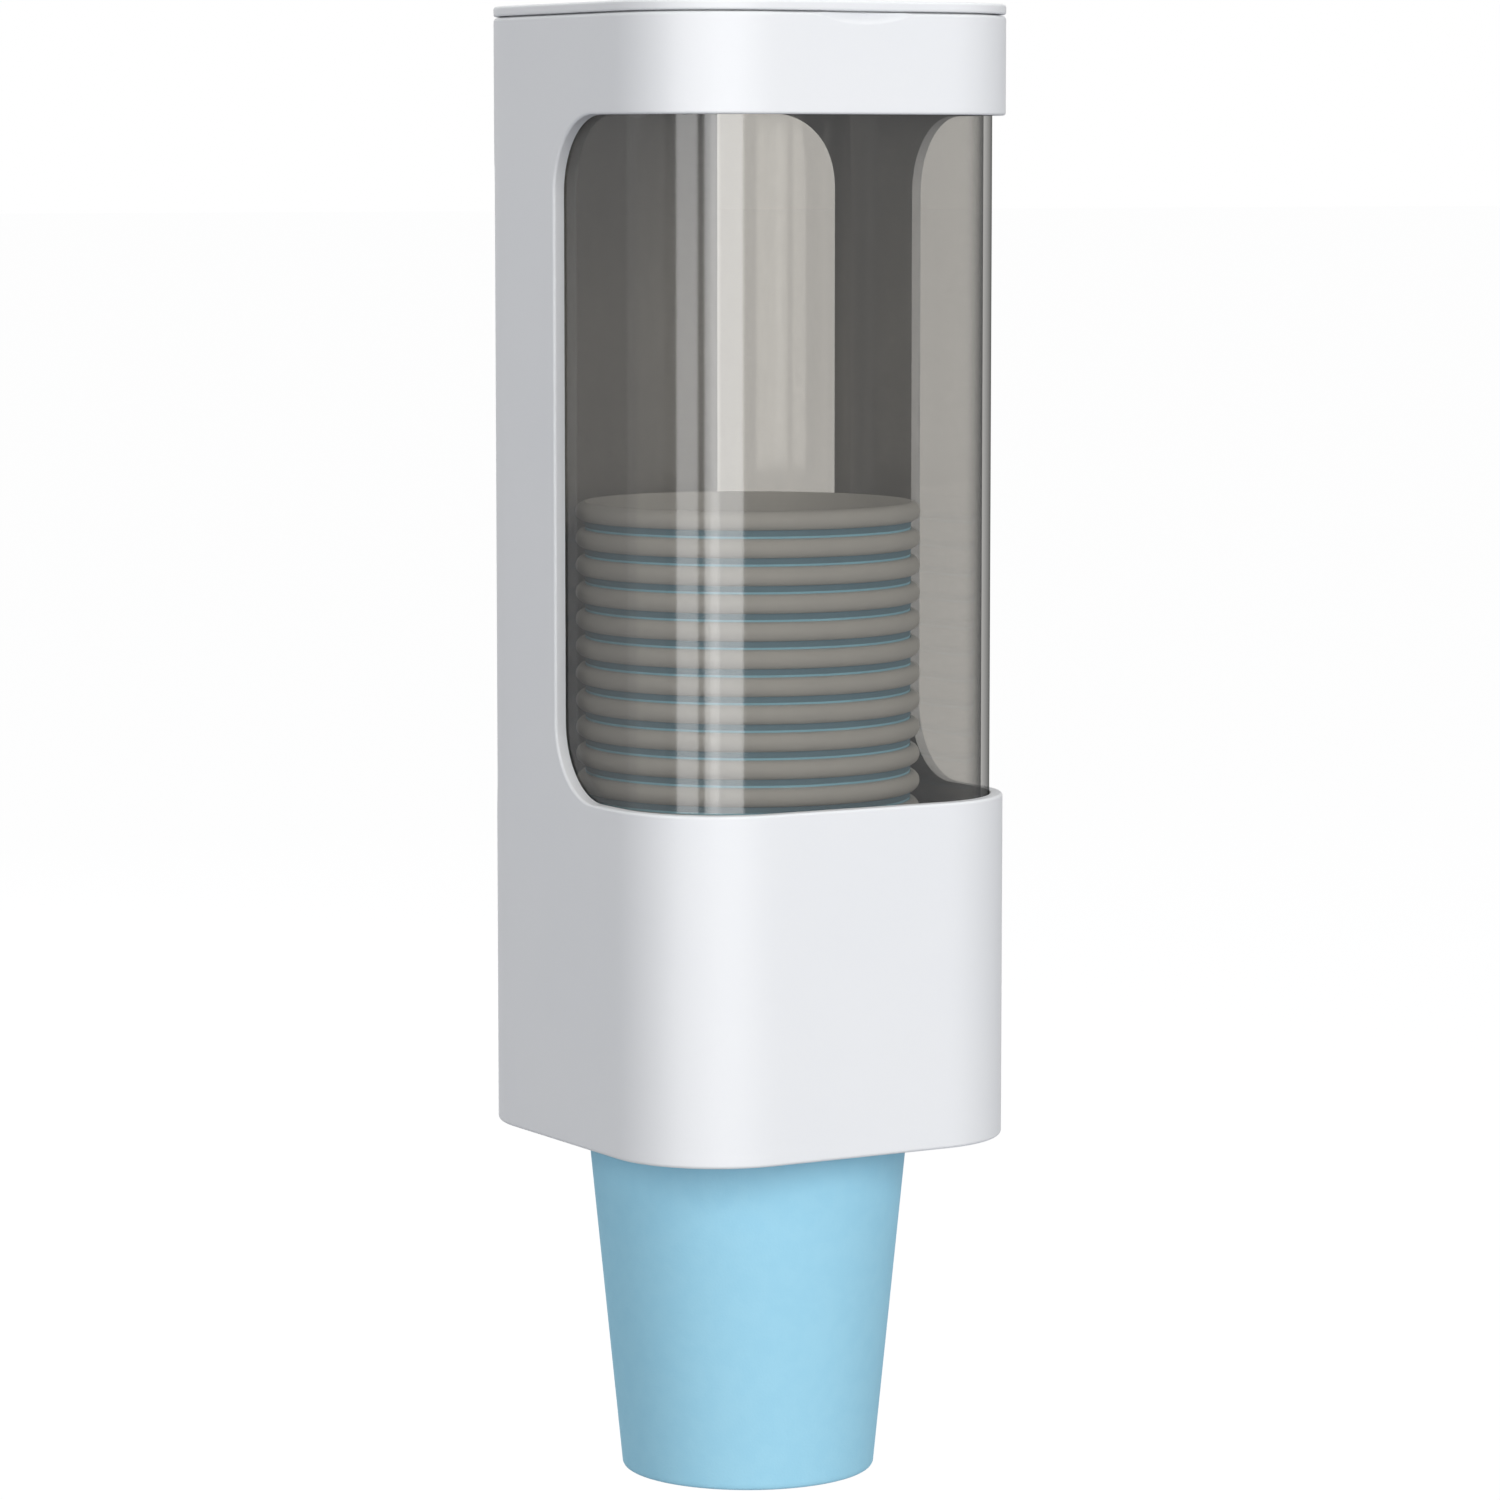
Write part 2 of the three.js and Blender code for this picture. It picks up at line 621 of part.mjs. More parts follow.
const dispenser = new THREE.Group();
dispenser.position.set(0, -wallPlane, -(bracketFootRise + bracketLength / 2));
model.add(dispenser);
place(dispenser, 'housing_shell', geometryOf(makeHousing()), whitePlastic());
place(dispenser, 'window_sleeve', geometryOf(makeSleeve()), smokedPlastic());
place(dispenser, 'lid', geometryOf(makeLid()), whitePlastic());
const hingePin = place(dispenser, 'lid_hinge_pin', makeHingePin(), steel());
hingePin.position.set(0, hingeY, hingeZ);
place(dispenser, 'cup_gasket', makeGasket(), softRubber());
place(dispenser, 'clamp_ring', geometryOf(makeClampRing()), whitePlastic());
bossPlaces.forEach(([x, y], index) => {
  const screw = place(dispenser, `ring_screw_${index + 1}`, makeRingScrew(), steel());
  screw.position.set(x, y, clampRecess);
});

const cupShape = makeCup();
for (let index = 0; index < cupCount; index += 1) {
  const name = `cup_${String(index + 1).padStart(2, '0')}`;
  const cup = place(dispenser, name, cupShape, bluePaper());
  cup.position.z = lowestCupFoot + index * cupPitch;
}

export default model;
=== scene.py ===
"""Looks of the wall-hung pull-down cup dispenser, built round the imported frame.

Every sub-assembly is a class. It models in the housing's own frame, in millimetres: x and y from
the middle of the housing's plan, with the front facing -y, and z up from the housing's lower edge.
The datum turns that into the row frame, in metres, when a piece is finished.
"""

import logging
import math
from collections.abc import Callable, Iterable, Sequence
from dataclasses import dataclass, field
from enum import Enum

import bmesh
import bpy
from mathutils import Matrix, Vector

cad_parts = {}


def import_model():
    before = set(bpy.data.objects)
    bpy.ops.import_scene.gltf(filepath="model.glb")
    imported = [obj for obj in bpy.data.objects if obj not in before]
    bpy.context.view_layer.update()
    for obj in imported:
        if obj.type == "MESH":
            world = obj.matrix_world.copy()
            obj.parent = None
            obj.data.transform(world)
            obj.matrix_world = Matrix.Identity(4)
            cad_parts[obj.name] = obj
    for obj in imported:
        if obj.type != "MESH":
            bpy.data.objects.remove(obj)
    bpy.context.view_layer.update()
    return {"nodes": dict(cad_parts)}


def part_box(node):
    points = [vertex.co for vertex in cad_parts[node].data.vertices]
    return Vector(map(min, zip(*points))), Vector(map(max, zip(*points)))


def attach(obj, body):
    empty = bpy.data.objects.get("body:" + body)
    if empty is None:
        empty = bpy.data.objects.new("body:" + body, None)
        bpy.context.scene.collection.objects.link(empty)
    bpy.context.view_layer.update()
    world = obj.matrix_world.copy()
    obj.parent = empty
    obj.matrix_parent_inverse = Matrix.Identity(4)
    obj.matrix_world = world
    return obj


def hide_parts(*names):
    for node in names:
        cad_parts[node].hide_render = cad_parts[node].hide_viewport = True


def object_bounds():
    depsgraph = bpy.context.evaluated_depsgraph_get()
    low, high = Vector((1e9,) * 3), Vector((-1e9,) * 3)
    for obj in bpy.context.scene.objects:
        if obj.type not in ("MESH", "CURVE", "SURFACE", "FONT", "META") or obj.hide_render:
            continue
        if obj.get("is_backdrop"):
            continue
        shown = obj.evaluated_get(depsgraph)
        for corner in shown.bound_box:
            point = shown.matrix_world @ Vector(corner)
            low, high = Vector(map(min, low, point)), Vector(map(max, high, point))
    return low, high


LOG = logging.getLogger("dispenser")
METRES = 0.001
OVERRUN = 1.5
FIT_GAP = 0.3
MERGE_DISTANCE = 1e-5
SHARP_EDGE = 40
FLAT_FACE_WEIGHT = 60
DIAGONAL = math.sqrt(0.5)
CORNERS = ((1, 1), (-1, 1), (-1, -1), (1, -1))
SIDES = (-1, 1)
PRINTED = "printed"
# Face attribute that marks the painted shade band under each cup's rim.
PAINTED_RIM_SHADE = "painted_rim_shade"

Point = tuple[float, float, float]
Flat = tuple[float, float]
Colour = tuple[float, float, float]
Bulge = Callable[[float, float, float], float]
Material = bpy.types.Material
Node = bpy.types.Node
Socket = bpy.types.NodeSocket
Thing = bpy.types.Object


class Body(str, Enum):
    """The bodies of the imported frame."""

    BRACKET = "bracket"
    DISPENSER = "dispenser"
    LID = "lid"
    PULLED_CUP = "pulled_cup"
    CUP_STACK = "cup_stack"


class Slot(str, Enum):
    """The record's material slots."""

    HOUSING = "housing_plastic"
    BRACKET = "bracket_plastic"
    SMOKED = "smoked_plastic"
    STEEL = "steel"
    RUBBER = "soft_rubber"
    PAPER = "cup_paper"


class Cut(str, Enum):
    """How one solid changes another."""

    JOIN = "UNION"
    CUT = "DIFFERENCE"
    KEEP_SHARED = "INTERSECT"


class SocketKind(str, Enum):
    """What a node group's socket holds."""

    NUMBER = "NodeSocketFloat"
    WHOLE = "NodeSocketInt"
    PLACE = "NodeSocketVector"
    COLOUR = "NodeSocketColor"
    THING = "NodeSocketObject"
    MATERIAL = "NodeSocketMaterial"
    GEOMETRY = "NodeSocketGeometry"


class Ray(Enum):
    """What a lamp is seen in: plain light, or only what a gloss mirrors."""

    DIFFUSE = "diffuse"
    GLOSS = "gloss"


class Pattern(str, Enum):
    """Where the copies of a repeated piece stand."""

    LINE = "line"
    RING = "ring"
    GRID = "grid"


@dataclass(frozen=True)
class Datum:
    """Where the housing's own frame lies in the row frame, in millimetres."""

    middle_y: float
    lower_z: float

    @classmethod
    def from_frame(cls) -> "Datum":
        """Reads the plan's middle off the sleeve and the lower edge off the housing.

        Returns:
            The datum.
        """
        low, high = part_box("window_sleeve")
        housing_low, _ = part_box("housing_shell")
        return cls((low.y + high.y) / 2 / METRES, housing_low.z / METRES)

    def matrix(self) -> Matrix:
        """Millimetres in the housing's frame to metres in the row frame."""
        return Matrix.Scale(METRES, 4) @ Matrix.Translation((0, self.middle_y, self.lower_z))

    def span(self, node: str) -> tuple[Vector, Vector]:
        """Lowest and highest corner of a CAD node in the housing's frame.

        Args:
            node: The node's name.

        Returns:
            Both corners, in millimetres.
        """
        back = self.matrix().inverted()
        low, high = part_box(node)
        return back @ low, back @ high


@dataclass(frozen=True)
class Plan:
    """The rounded-square plan that the housing, the sleeve and the lid share."""

    half_x: float
    half_y: float
    radius: float
    steps: int = 32

    @property
    def flat(self) -> float:
        """Half of the front's flat part."""
        return self.half_x - self.radius

    @property
    def bend(self) -> float:
        """Girth of one corner."""
        return self.radius * math.pi / 2

    def outline(self, inset: float) -> list[Flat]:
        """The plan's outline, anticlockwise from above, drawn in by an inset.

        Args:
            inset: How far it is drawn in.

        Returns:
            The outline's points.
        """
        radius = self.radius - inset
        points = []
        for corner, (side_x, side_y) in enumerate(CORNERS):
            for step in range(self.steps + 1):
                angle = (corner + step / self.steps) * math.pi / 2
                x = side_x * self.flat + radius * math.cos(angle)
                y = side_y * (self.half_y - self.radius) + radius * math.sin(angle)
                points.append((x, y))
        return points

    def ring(self, inset: float, z: float) -> list[Point]:
        """The outline at a height."""
        return [(x, y, z) for x, y in self.outline(inset)]

    def rounded_end(
        self, inset: float, end: float, radius: float, steps: int, up: int = 1, side: int = 1
    ) -> list[list[Point]]:
        """Rings of one rounded edge, in the order of a skin that goes up outside and down inside.

        Args:
            inset: The inset of the face.
            end: The height of the end.
            radius: The rounding's radius.
            steps: How many straight stretches stand for it.
            up: 1 at an upper end and -1 at a lower one.
            side: 1 on an outer face and -1 on an inner one.

        Returns:
            The rings.
        """
        soft = quarter_round(radius, steps)[:: up * side]
        return [self.ring(inset + side * drawn, end - up * radius + up * rise) for drawn, rise in soft]

    def on_surface(self, girth: float, offset: float, z: float) -> Point:
        """A place on the outside, a girth from the middle of the front and an offset outward.

        Args:
            girth: The girth, above nought to the right.
            offset: How far outside the surface it lies.
            z: Its height.

        Returns:
            The place.
        """
        side = math.copysign(1, girth)
        along = abs(girth)
        straight = self.half_y - self.radius
        if along <= self.flat:
            return girth, -self.half_y - offset, z
        if along <= self.flat + self.bend:
            angle = (along - self.flat) / self.radius
            reach = self.radius + offset
            return side * (self.flat + reach * math.sin(angle)), -straight - reach * math.cos(angle), z
        return side * (self.half_x + offset), along - self.flat - self.bend - straight, z


def quarter_angles(steps: int) -> list[float]:
    """Angles from nought to a quarter turn."""
    return [step / steps * math.pi / 2 for step in range(steps + 1)]


def full_turn(steps: int) -> list[float]:
    """Angles round a whole turn, without the last, which is the first again."""
    return [2 * math.pi * step / steps for step in range(steps)]


def arc(radius: float, angles: Iterable[float], x: float = 0, y: float = 0) -> list[Flat]:
    """Points on a circle about a centre, at angles."""
    return [(x + radius * math.cos(a), y + radius * math.sin(a)) for a in angles]


def quarter_round(radius: float, steps: int) -> list[Flat]:
    """Points of a quarter circle as [inset, rise] pairs, from the face to the end.

    Args:
        radius: The rounding's radius.
        steps: How many straight stretches stand for it.

    Returns:
        Pairs from (0, 0) on the face to (radius, radius) on the end.
    """
    return [(radius * (1 - math.cos(a)), radius * math.sin(a)) for a in quarter_angles(steps)]


@dataclass
class Surface:
    """A closed surface as points and faces."""

    points: list[Point]
    faces: list[list[int]]

    @classmethod
    def loft(
        cls, rings: Sequence[Sequence[Point]], closed: bool = False, caps: list[list[int]] | None = None
    ) -> "Surface":
        """Skins rings that hold the same number of points.

        Args:
            rings: The rings, in order.
            closed: Joins the last ring to the first, as for a tube, instead of capping both ends.
            caps: The faces of one end, as places in a ring. One face by default.

        Returns:
            The surface.
        """
        count = len(rings[0])
        points = [point for ring in rings for point in ring]
        faces = []
        last = len(rings) if closed else len(rings) - 1
        for level in range(last):
            low, high = level * count, (level + 1) % len(rings) * count
            for i in range(count):
                j = (i + 1) % count
                faces.append([low + i, low + j, high + j, high + i])
        if not closed:
            end = (len(rings) - 1) * count
            for cap in caps or [list(range(count))]:
                faces.append(cap[::-1])
                faces.append([end + place for place in cap])
        return cls(points, faces)

    @classmethod
    def prism(cls, outline: Sequence[Flat], low: float, high: float) -> "Surface":
        """An outline in x and y, drawn up from one height to another."""
        return cls.loft([[(x, y, z) for x, y in outline] for z in (low, high)])

    @classmethod
    def bar(cls, outline: Sequence[Flat], start: float, end: float) -> "Surface":
        """An outline in y and z, drawn along x from one place to another."""
        return cls.loft([[(x, y, z) for y, z in outline] for x in (start, end)])

    @classmethod
    def box(cls, low: Point, high: Point) -> "Surface":
        """A block between two corners."""
        (x0, y0, z0), (x1, y1, z1) = low, high
        return cls.prism([(x0, y0), (x1, y0), (x1, y1), (x0, y1)], z0, z1)

    @classmethod
    def turned(cls, profile: Sequence[Flat], steps: int, bulge: Bulge | None = None) -> "Surface":
        """A profile of [radius, z] pairs that starts and ends on the axis, turned about z.

        Args:
            profile: The profile. Its first and last radius are zero.
            steps: How many steps one turn has.
            bulge: Extra radius at a radius, a height and an angle, for what isn't round.

        Returns:
            The surface.
        """
        points: list[Point] = [(0, 0, profile[0][1])]
        for radius, z in profile[1:-1]:
            for angle in full_turn(steps):
                reach = radius + (bulge(radius, z, angle) if bulge else 0)
                points.append((reach * math.cos(angle), reach * math.sin(angle), z))
        points.append((0, 0, profile[-1][1]))
        rings = len(profile) - 2
        end = len(points) - 1
        faces = []
        for step in range(steps):
            after = (step + 1) % steps
            faces.append([0, 1 + after, 1 + step])
            for ring in range(rings - 1):
                near, far = 1 + ring * steps, 1 + (ring + 1) * steps
                faces.append([near + step, near + after, far + after, far + step])
            tail = 1 + (rings - 1) * steps
            faces.append([tail + step, tail + after, end])
        return cls(points, faces)

    @classmethod
    def disc(cls, radius: float, low: float, high: float, steps: int) -> "Surface":
        """A round block about z."""
        return cls.turned([(0, low), (radius, low), (radius, high), (0, high)], steps)

    @classmethod
    def sunk_hole(cls, head: float, shank: float, deep: float, span: Flat, steps: int) -> "Surface":
        """A cutter about z for a countersunk hole, with its wide end at the lower face.

        Args:
            head: The radius at the lower face.
            shank: The radius past the sink.
            deep: The sink's depth.
            span: The heights of the lower and the upper face.
            steps: How many steps one turn has.

        Returns:
            The cutter.
        """
        low, high = span
        below, above = low - OVERRUN, high + OVERRUN
        profile = [(0, below), (head, below), (head, low), (shank, low + deep), (shank, above), (0, above)]
        return cls.turned(profile, steps)

    def moved(self, x: float = 0, y: float = 0, z: float = 0) -> "Surface":
        """The same surface somewhere else."""
        return Surface([(px + x, py + y, pz + z) for px, py, pz in self.points], self.faces)

    def through(self, matrix: Matrix) -> "Surface":
        """The same surface turned or scaled by a matrix."""
        return Surface([tuple(matrix @ Vector(point)) for point in self.points], self.faces)

    def at_each(self, places: Iterable[Flat]) -> "Surface":
        """Copies of the surface at places in x and y, as one."""
        return Surface.gathered(self.moved(x, y) for x, y in places)

    @staticmethod
    def gathered(parts: Iterable["Surface"]) -> "Surface":
        """Several surfaces that don't touch, as one.

        Args:
            parts: The surfaces.

        Returns:
            One surface with all of them.
        """
        points: list[Point] = []
        faces: list[list[int]] = []
        for part in parts:
            start = len(points)
            points += part.points
            faces += [[start + place for place in face] for face in part.faces]
        return Surface(points, faces)


@dataclass
class Workshop:
    """Makes meshes, joins and cuts them, and hands the finished pieces to the frame."""

    datum: Datum
    finishes: dict[Slot, Material]
    made: list[str] = field(default_factory=list)

    def solid(self, surface: Surface, name: str = "blank") -> Thing:
        """Makes a mesh object, in millimetres, with every face pointing out.

        Args:
            surface: The surface.
            name: The object's name.

        Returns:
            The object.
        """
        mesh = bpy.data.meshes.new(name)
        mesh.from_pydata(surface.points, [], surface.faces)
        form = bmesh.new()
        form.from_mesh(mesh)
        bmesh.ops.remove_doubles(form, verts=form.verts, dist=MERGE_DISTANCE)
        bmesh.ops.recalc_face_normals(form, faces=form.faces)
        form.to_mesh(mesh)
        form.free()
        thing = bpy.data.objects.new(name, mesh)
        bpy.context.scene.collection.objects.link(thing)
        return thing

    def settle(self, thing: Thing) -> None:
        """Turns an object with its modifiers into a plain mesh.

        Args:
            thing: The object.
        """
        graph = bpy.context.evaluated_depsgraph_get()
        mesh = bpy.data.meshes.new_from_object(thing.evaluated_get(graph))
        thing.modifiers.clear()
        old, thing.data = thing.data, mesh
        if not old.users:
            bpy.data.meshes.remove(old)

    def change(self, base: Thing, surface: Surface | Thing, how: Cut) -> None:
        """Joins a solid to the base, or cuts the base with it.

        Args:
            base: The object that is changed.
            surface: The surface or object that changes it, which is used up.
            how: What it does to the base.
        """
        tool = surface if isinstance(surface, bpy.types.Object) else self.solid(surface, "tool")
        step = base.modifiers.new("step", "BOOLEAN")
        step.solver = "MANIFOLD"
        step.operation = how.value
        step.object = tool
        self.settle(base)
        bpy.data.objects.remove(tool)

    def soften(self, thing: Thing, width: float, segments: int = 2) -> None:
        """Rounds the sharp edges.

        Args:
            thing: The object.
            width: The rounding's width.
            segments: How many faces a rounding gets.
        """
        bevel = thing.modifiers.new("bevel", "BEVEL")
        bevel.width = width
        bevel.segments = segments
        bevel.limit_method = "ANGLE"
        bevel.angle_limit = math.radians(SHARP_EDGE)
        bevel.use_clamp_overlap = True
        self.settle(thing)

    def shade(self, thing: Thing, sharp: float = 32) -> None:
        """Shades a piece smooth up to an angle in degrees, with flat faces kept flat.

        Args:
            thing: The piece.
            sharp: The angle.
        """
        thing.data.shade_smooth()
        thing.data.set_sharp_from_angle(angle=math.radians(sharp))
        normals = thing.modifiers.new("normals", "WEIGHTED_NORMAL")
        normals.keep_sharp = True
        normals.weight = FLAT_FACE_WEIGHT
        self.settle(thing)

    def deliver(self, thing: Thing, name: str, body: Body, slot: Slot, *replaced: str) -> None:
        """Puts a finished piece in the row frame, gives it its finish and ties it to its body.

        Args:
            thing: The piece, in millimetres.
            name: The piece's name.
            body: The body that it rides on.
            slot: The record's slot of its finish.
            replaced: The CAD nodes that it stands for.
        """
        thing.name = thing.data.name = name
        thing.data.transform(self.datum.matrix())
        thing.data.materials.clear()
        thing.data.materials.append(self.finishes[slot])
        thing.data.polygons.foreach_set("material_index", [0] * len(thing.data.polygons))
        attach(thing, body.value)
        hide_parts(*replaced)
        self.made.append(name)
        LOG.info("%s: %d faces, rides on %s", name, len(thing.data.polygons), body.value)


class NodeWeb:
    """A short way to add and link the nodes of one tree."""

    def __init__(self, tree: bpy.types.NodeTree) -> None:
        """Keeps the tree."""
        self.tree = tree

    def takes(self, kinds: dict[str, SocketKind]) -> dict[str, bpy.types.NodeTreeInterfaceSocket]:
        """Gives a group its inputs and returns them by name.

        Args:
            kinds: What each input holds, by its name.

        Returns:
            The inputs.
        """
        return {
            label: self.tree.interface.new_socket(label, in_out="INPUT", socket_type=kind.value)
            for label, kind in kinds.items()
        }

    def gives(self, kind: SocketKind, **results: Socket) -> None:
        """Gives a group its outputs, all of one kind, and links a result to each.

        Args:
            kind: What they hold.
            results: The result for each, by its name.
        """
        for label in results:
            self.tree.interface.new_socket(label, in_out="OUTPUT", socket_type=kind.value)
        self.add("NodeGroupOutput", **results)

    def add(self, kind: str, settings: dict[str, object] | None = None, **inputs: object) -> Node:
        """Adds a node.

        Args:
            kind: The node's type.
            settings: Its own properties.
            inputs: Values or sockets for its inputs, by name with _ for a space, or by place as in_0.

        Returns:
            The node.
        """
        node = self.tree.nodes.new(kind)
        for name, value in (settings or {}).items():
            setattr(node, name, value)
        for name, value in inputs.items():
            label = int(name[3:]) if name.startswith("in_") else name.replace("_", " ")
            if isinstance(value, bpy.types.NodeSocket):
                self.tree.links.new(value, node.inputs[label])
            else:
                node.inputs[label].default_value = value
        return node

    def maths(self, operation: str, *values: object) -> Socket:
        """Adds a Math node and returns its result."""
        inputs = {f"in_{place}": value for place, value in enumerate(values)}
        return self.add("ShaderNodeMath", {"operation": operation}, **inputs).outputs[0]

    def blend(self, share: object, first: object, second: object) -> Socket:
        """Mixes two colours and returns the result."""
        mixed = self.add("ShaderNodeMix", {"data_type": "RGBA"}, in_0=share, in_6=first, in_7=second)
        return mixed.outputs[2]

    def ramp(self, value: Socket, low: float, high: float) -> Socket:
        """Turns a range of values softly into nought to one.

        Args:
            value: The value.
            low: What becomes nought.
            high: What becomes one.

        Returns:
            The result.
        """
        smooth = {"interpolation_type": "SMOOTHSTEP"}
        mapped = self.add("ShaderNodeMapRange", smooth, Value=value, From_Min=low, From_Max=high)
        return mapped.outputs["Result"]

    def either(self, share: Socket, first: Node, second: Node) -> Node:
        """Adds a mix of two shaders."""
        return self.add("ShaderNodeMixShader", in_0=share, in_1=first.outputs[0], in_2=second.outputs[0])


class MaterialWeb(NodeWeb):
    """The nodes of one new material."""

    def __init__(self, name: str) -> None:
        """Makes a material without nodes.

        Args:
            name: The material's name.
        """
        self.material = bpy.data.materials.new(name)
        self.material.use_nodes = True
        self.material.node_tree.nodes.clear()
        super().__init__(self.material.node_tree)

    def where(self) -> Socket:
        """Adds the place on the piece, in the object's own coordinates."""
        return self.add("ShaderNodeTexCoord").outputs["Object"]

    def finished(self, shader: Node) -> Material:
        """Ends the material with a shader and returns it."""
        self.add("ShaderNodeOutputMaterial", Surface=shader.outputs[0])
        return self.material


def opaque(colour: Colour) -> tuple[float, float, float, float]:
    """A colour with full alpha."""
    return (*colour, 1.0)


@dataclass(frozen=True)
class Grain:
    """The fine relief of a surface, in metres, and how rough it is."""

    size: float
    depth: float
    roughness: float
    spread: float
    strength: float = 0.5


class SharedEffects:
    """The shader node groups that more than one finish uses, and what places them in a material."""

    fine_detail = 3.0
    wide_detail = 2.0
    wide_share = 0.03
    patch_detail = 4.0
    patch_edges = (0.35, 0.65)

    def __init__(self) -> None:
        """Builds each group once."""
        self.grain_group = self._grain()
        self.shades_group = self._shades()

    def _grain(self) -> bpy.types.NodeTree:
        """Builds the fine surface texture.

        Returns:
            A group that gives a height for Bump and a slightly uneven roughness.
        """
        web = NodeWeb(bpy.data.node_groups.new("fine_grain", "ShaderNodeTree"))
        number = SocketKind.NUMBER
        web.takes({
            "Vector": SocketKind.PLACE, "Grain Size": number, "Roughness": number, "Roughness Spread": number,
        })
        given = web.add("NodeGroupInput").outputs
        place, scale = given["Vector"], web.maths("DIVIDE", 1.0, given["Grain Size"])
        wider = web.maths("MULTIPLY", scale, self.wide_share)
        fine, wide = (
            web.add("ShaderNodeTexNoise", Vector=place, Scale=size, Detail=detail).outputs["Fac"]
            for size, detail in ((scale, self.fine_detail), (wider, self.wide_detail))
        )
        offset = web.maths("SUBTRACT", web.maths("ADD", fine, wide), 1.0)
        spread = web.maths("MULTIPLY", offset, given["Roughness Spread"])
        web.gives(number, Height=fine, Roughness=web.maths("ADD", spread, given["Roughness"]))
        return web.tree

    def _shades(self) -> bpy.types.NodeTree:
        """Builds the slow change between two shades of one colour.

        Returns:
            A group that gives the colour.
        """
        web = NodeWeb(bpy.data.node_groups.new("slow_mottle", "ShaderNodeTree"))
        web.takes({
            "Vector": SocketKind.PLACE, "Patch Size": SocketKind.NUMBER,
            "Colour": SocketKind.COLOUR, "Other Colour": SocketKind.COLOUR,
        })
        given = web.add("NodeGroupInput").outputs
        scale = web.maths("DIVIDE", 1.0, given["Patch Size"])
        noise = web.add("ShaderNodeTexNoise", Vector=given["Vector"], Scale=scale, Detail=self.patch_detail)
        patches = web.ramp(noise.outputs["Fac"], *self.patch_edges)
        web.gives(SocketKind.COLOUR, Colour=web.blend(patches, given["Colour"], given["Other Colour"]))
        return web.tree

    def shades(self, web: NodeWeb, where: Socket, patch_size: float, pair: tuple[Colour, Colour]) -> Socket:
        """Places the slow change between two shades in a material.

        Args:
            web: The material's nodes.
            where: The place on the piece.
            patch_size: The patches' size, in metres.
            pair: The two shades.

        Returns:
            The colour.
        """
        first, second = (opaque(shade) for shade in pair)
        return web.add(
            "ShaderNodeGroup", {"node_tree": self.shades_group},
            Vector=where, Patch_Size=patch_size, Colour=first, Other_Colour=second,
        ).outputs["Colour"]

    def grained(self, web: MaterialWeb, where: Socket, grain: Grain, **surface: object) -> Material:
        """Ends a material with a surface that has a grain.

        Args:
            web: The material's nodes.
            where: The place on the piece.
            grain: The grain.
            surface: The surface's other inputs.

        Returns:
            The material.
        """
        fine = web.add(
            "ShaderNodeGroup", {"node_tree": self.grain_group},
            Vector=where, Grain_Size=grain.size, Roughness=grain.roughness, Roughness_Spread=grain.spread,
        )
        bump = web.add(
            "ShaderNodeBump", Height=fine.outputs["Height"], Strength=grain.strength, Distance=grain.depth
        )
        return web.finished(web.add(
            "ShaderNodeBsdfPrincipled", {"subsurface_method": "RANDOM_WALK"},
            Roughness=fine.outputs["Roughness"], Normal=bump.outputs["Normal"], **surface,
        ))


@dataclass(frozen=True)
class MouldedFinish:
    """Opaque moulded plastic or rubber."""

    name: str
    colours: tuple[Colour, Colour]
    grain: Grain
    shine: float
    patch_size: float = 0.04
    glow_under: float = 0.0
    glow_depth: float = 0.001

    def build(self, effects: SharedEffects) -> Material:
        """Makes the material.

        Args:
            effects: The shared groups.

        Returns:
            The material.
        """
        web = MaterialWeb(self.name)
        where = web.where()
        return effects.grained(
            web, where, self.grain,
            Base_Color=effects.shades(web, where, self.patch_size, self.colours),
            Specular_IOR_Level=self.shine, Subsurface_Weight=self.glow_under,
            Subsurface_Radius=(1.0, 1.0, 1.0), Subsurface_Scale=self.glow_depth,
        )


@dataclass(frozen=True)
class SmokedFinish:
    """Clear smoked plastic, which tints what is behind it and mirrors the lamps faintly."""

    name: str = "smoked_clear_plastic"
    tints: tuple[Colour, Colour] = ((0.765, 0.757, 0.741), (0.777, 0.768, 0.750))
    edge_tint: Colour = (0.30, 0.30, 0.295)
    edge_blend: float = 0.5
    edge_start: float = 0.32
    body_colour: Colour = (0.012, 0.012, 0.012)
    roughness: float = 0.11
    shine: float = 1.0
    streak_width: float = 0.006
    streak_length: float = 0.6

    def build(self, effects: SharedEffects) -> Material:
        """Makes the material: tinted see-through, darker where it is seen edge on, under a gloss.

        Args:
            effects: The shared groups.

        Returns:
            The material.
        """
        web = MaterialWeb(self.name)
        stretch = (1.0, 1.0, self.streak_width / self.streak_length)
        drawn = web.add("ShaderNodeMapping", Vector=web.where(), Scale=stretch).outputs["Vector"]
        streaks = effects.shades(web, drawn, self.streak_width, self.tints)
        facing = web.add("ShaderNodeLayerWeight", Blend=self.edge_blend).outputs["Facing"]
        thick = web.ramp(facing, self.edge_start, 1.0)
        clear = web.add("ShaderNodeBsdfTransparent", Color=web.blend(thick, streaks, opaque(self.edge_tint)))
        gloss = web.add(
            "ShaderNodeBsdfPrincipled",
            Base_Color=opaque(self.body_colour), Roughness=self.roughness, Specular_IOR_Level=self.shine,
        )
        both = web.add("ShaderNodeAddShader", in_0=clear.outputs[0], in_1=gloss.outputs[0])
        behind = web.add("ShaderNodeNewGeometry").outputs["Backfacing"]
        return web.finished(web.either(web.maths("MAXIMUM", behind, thick), both, clear))


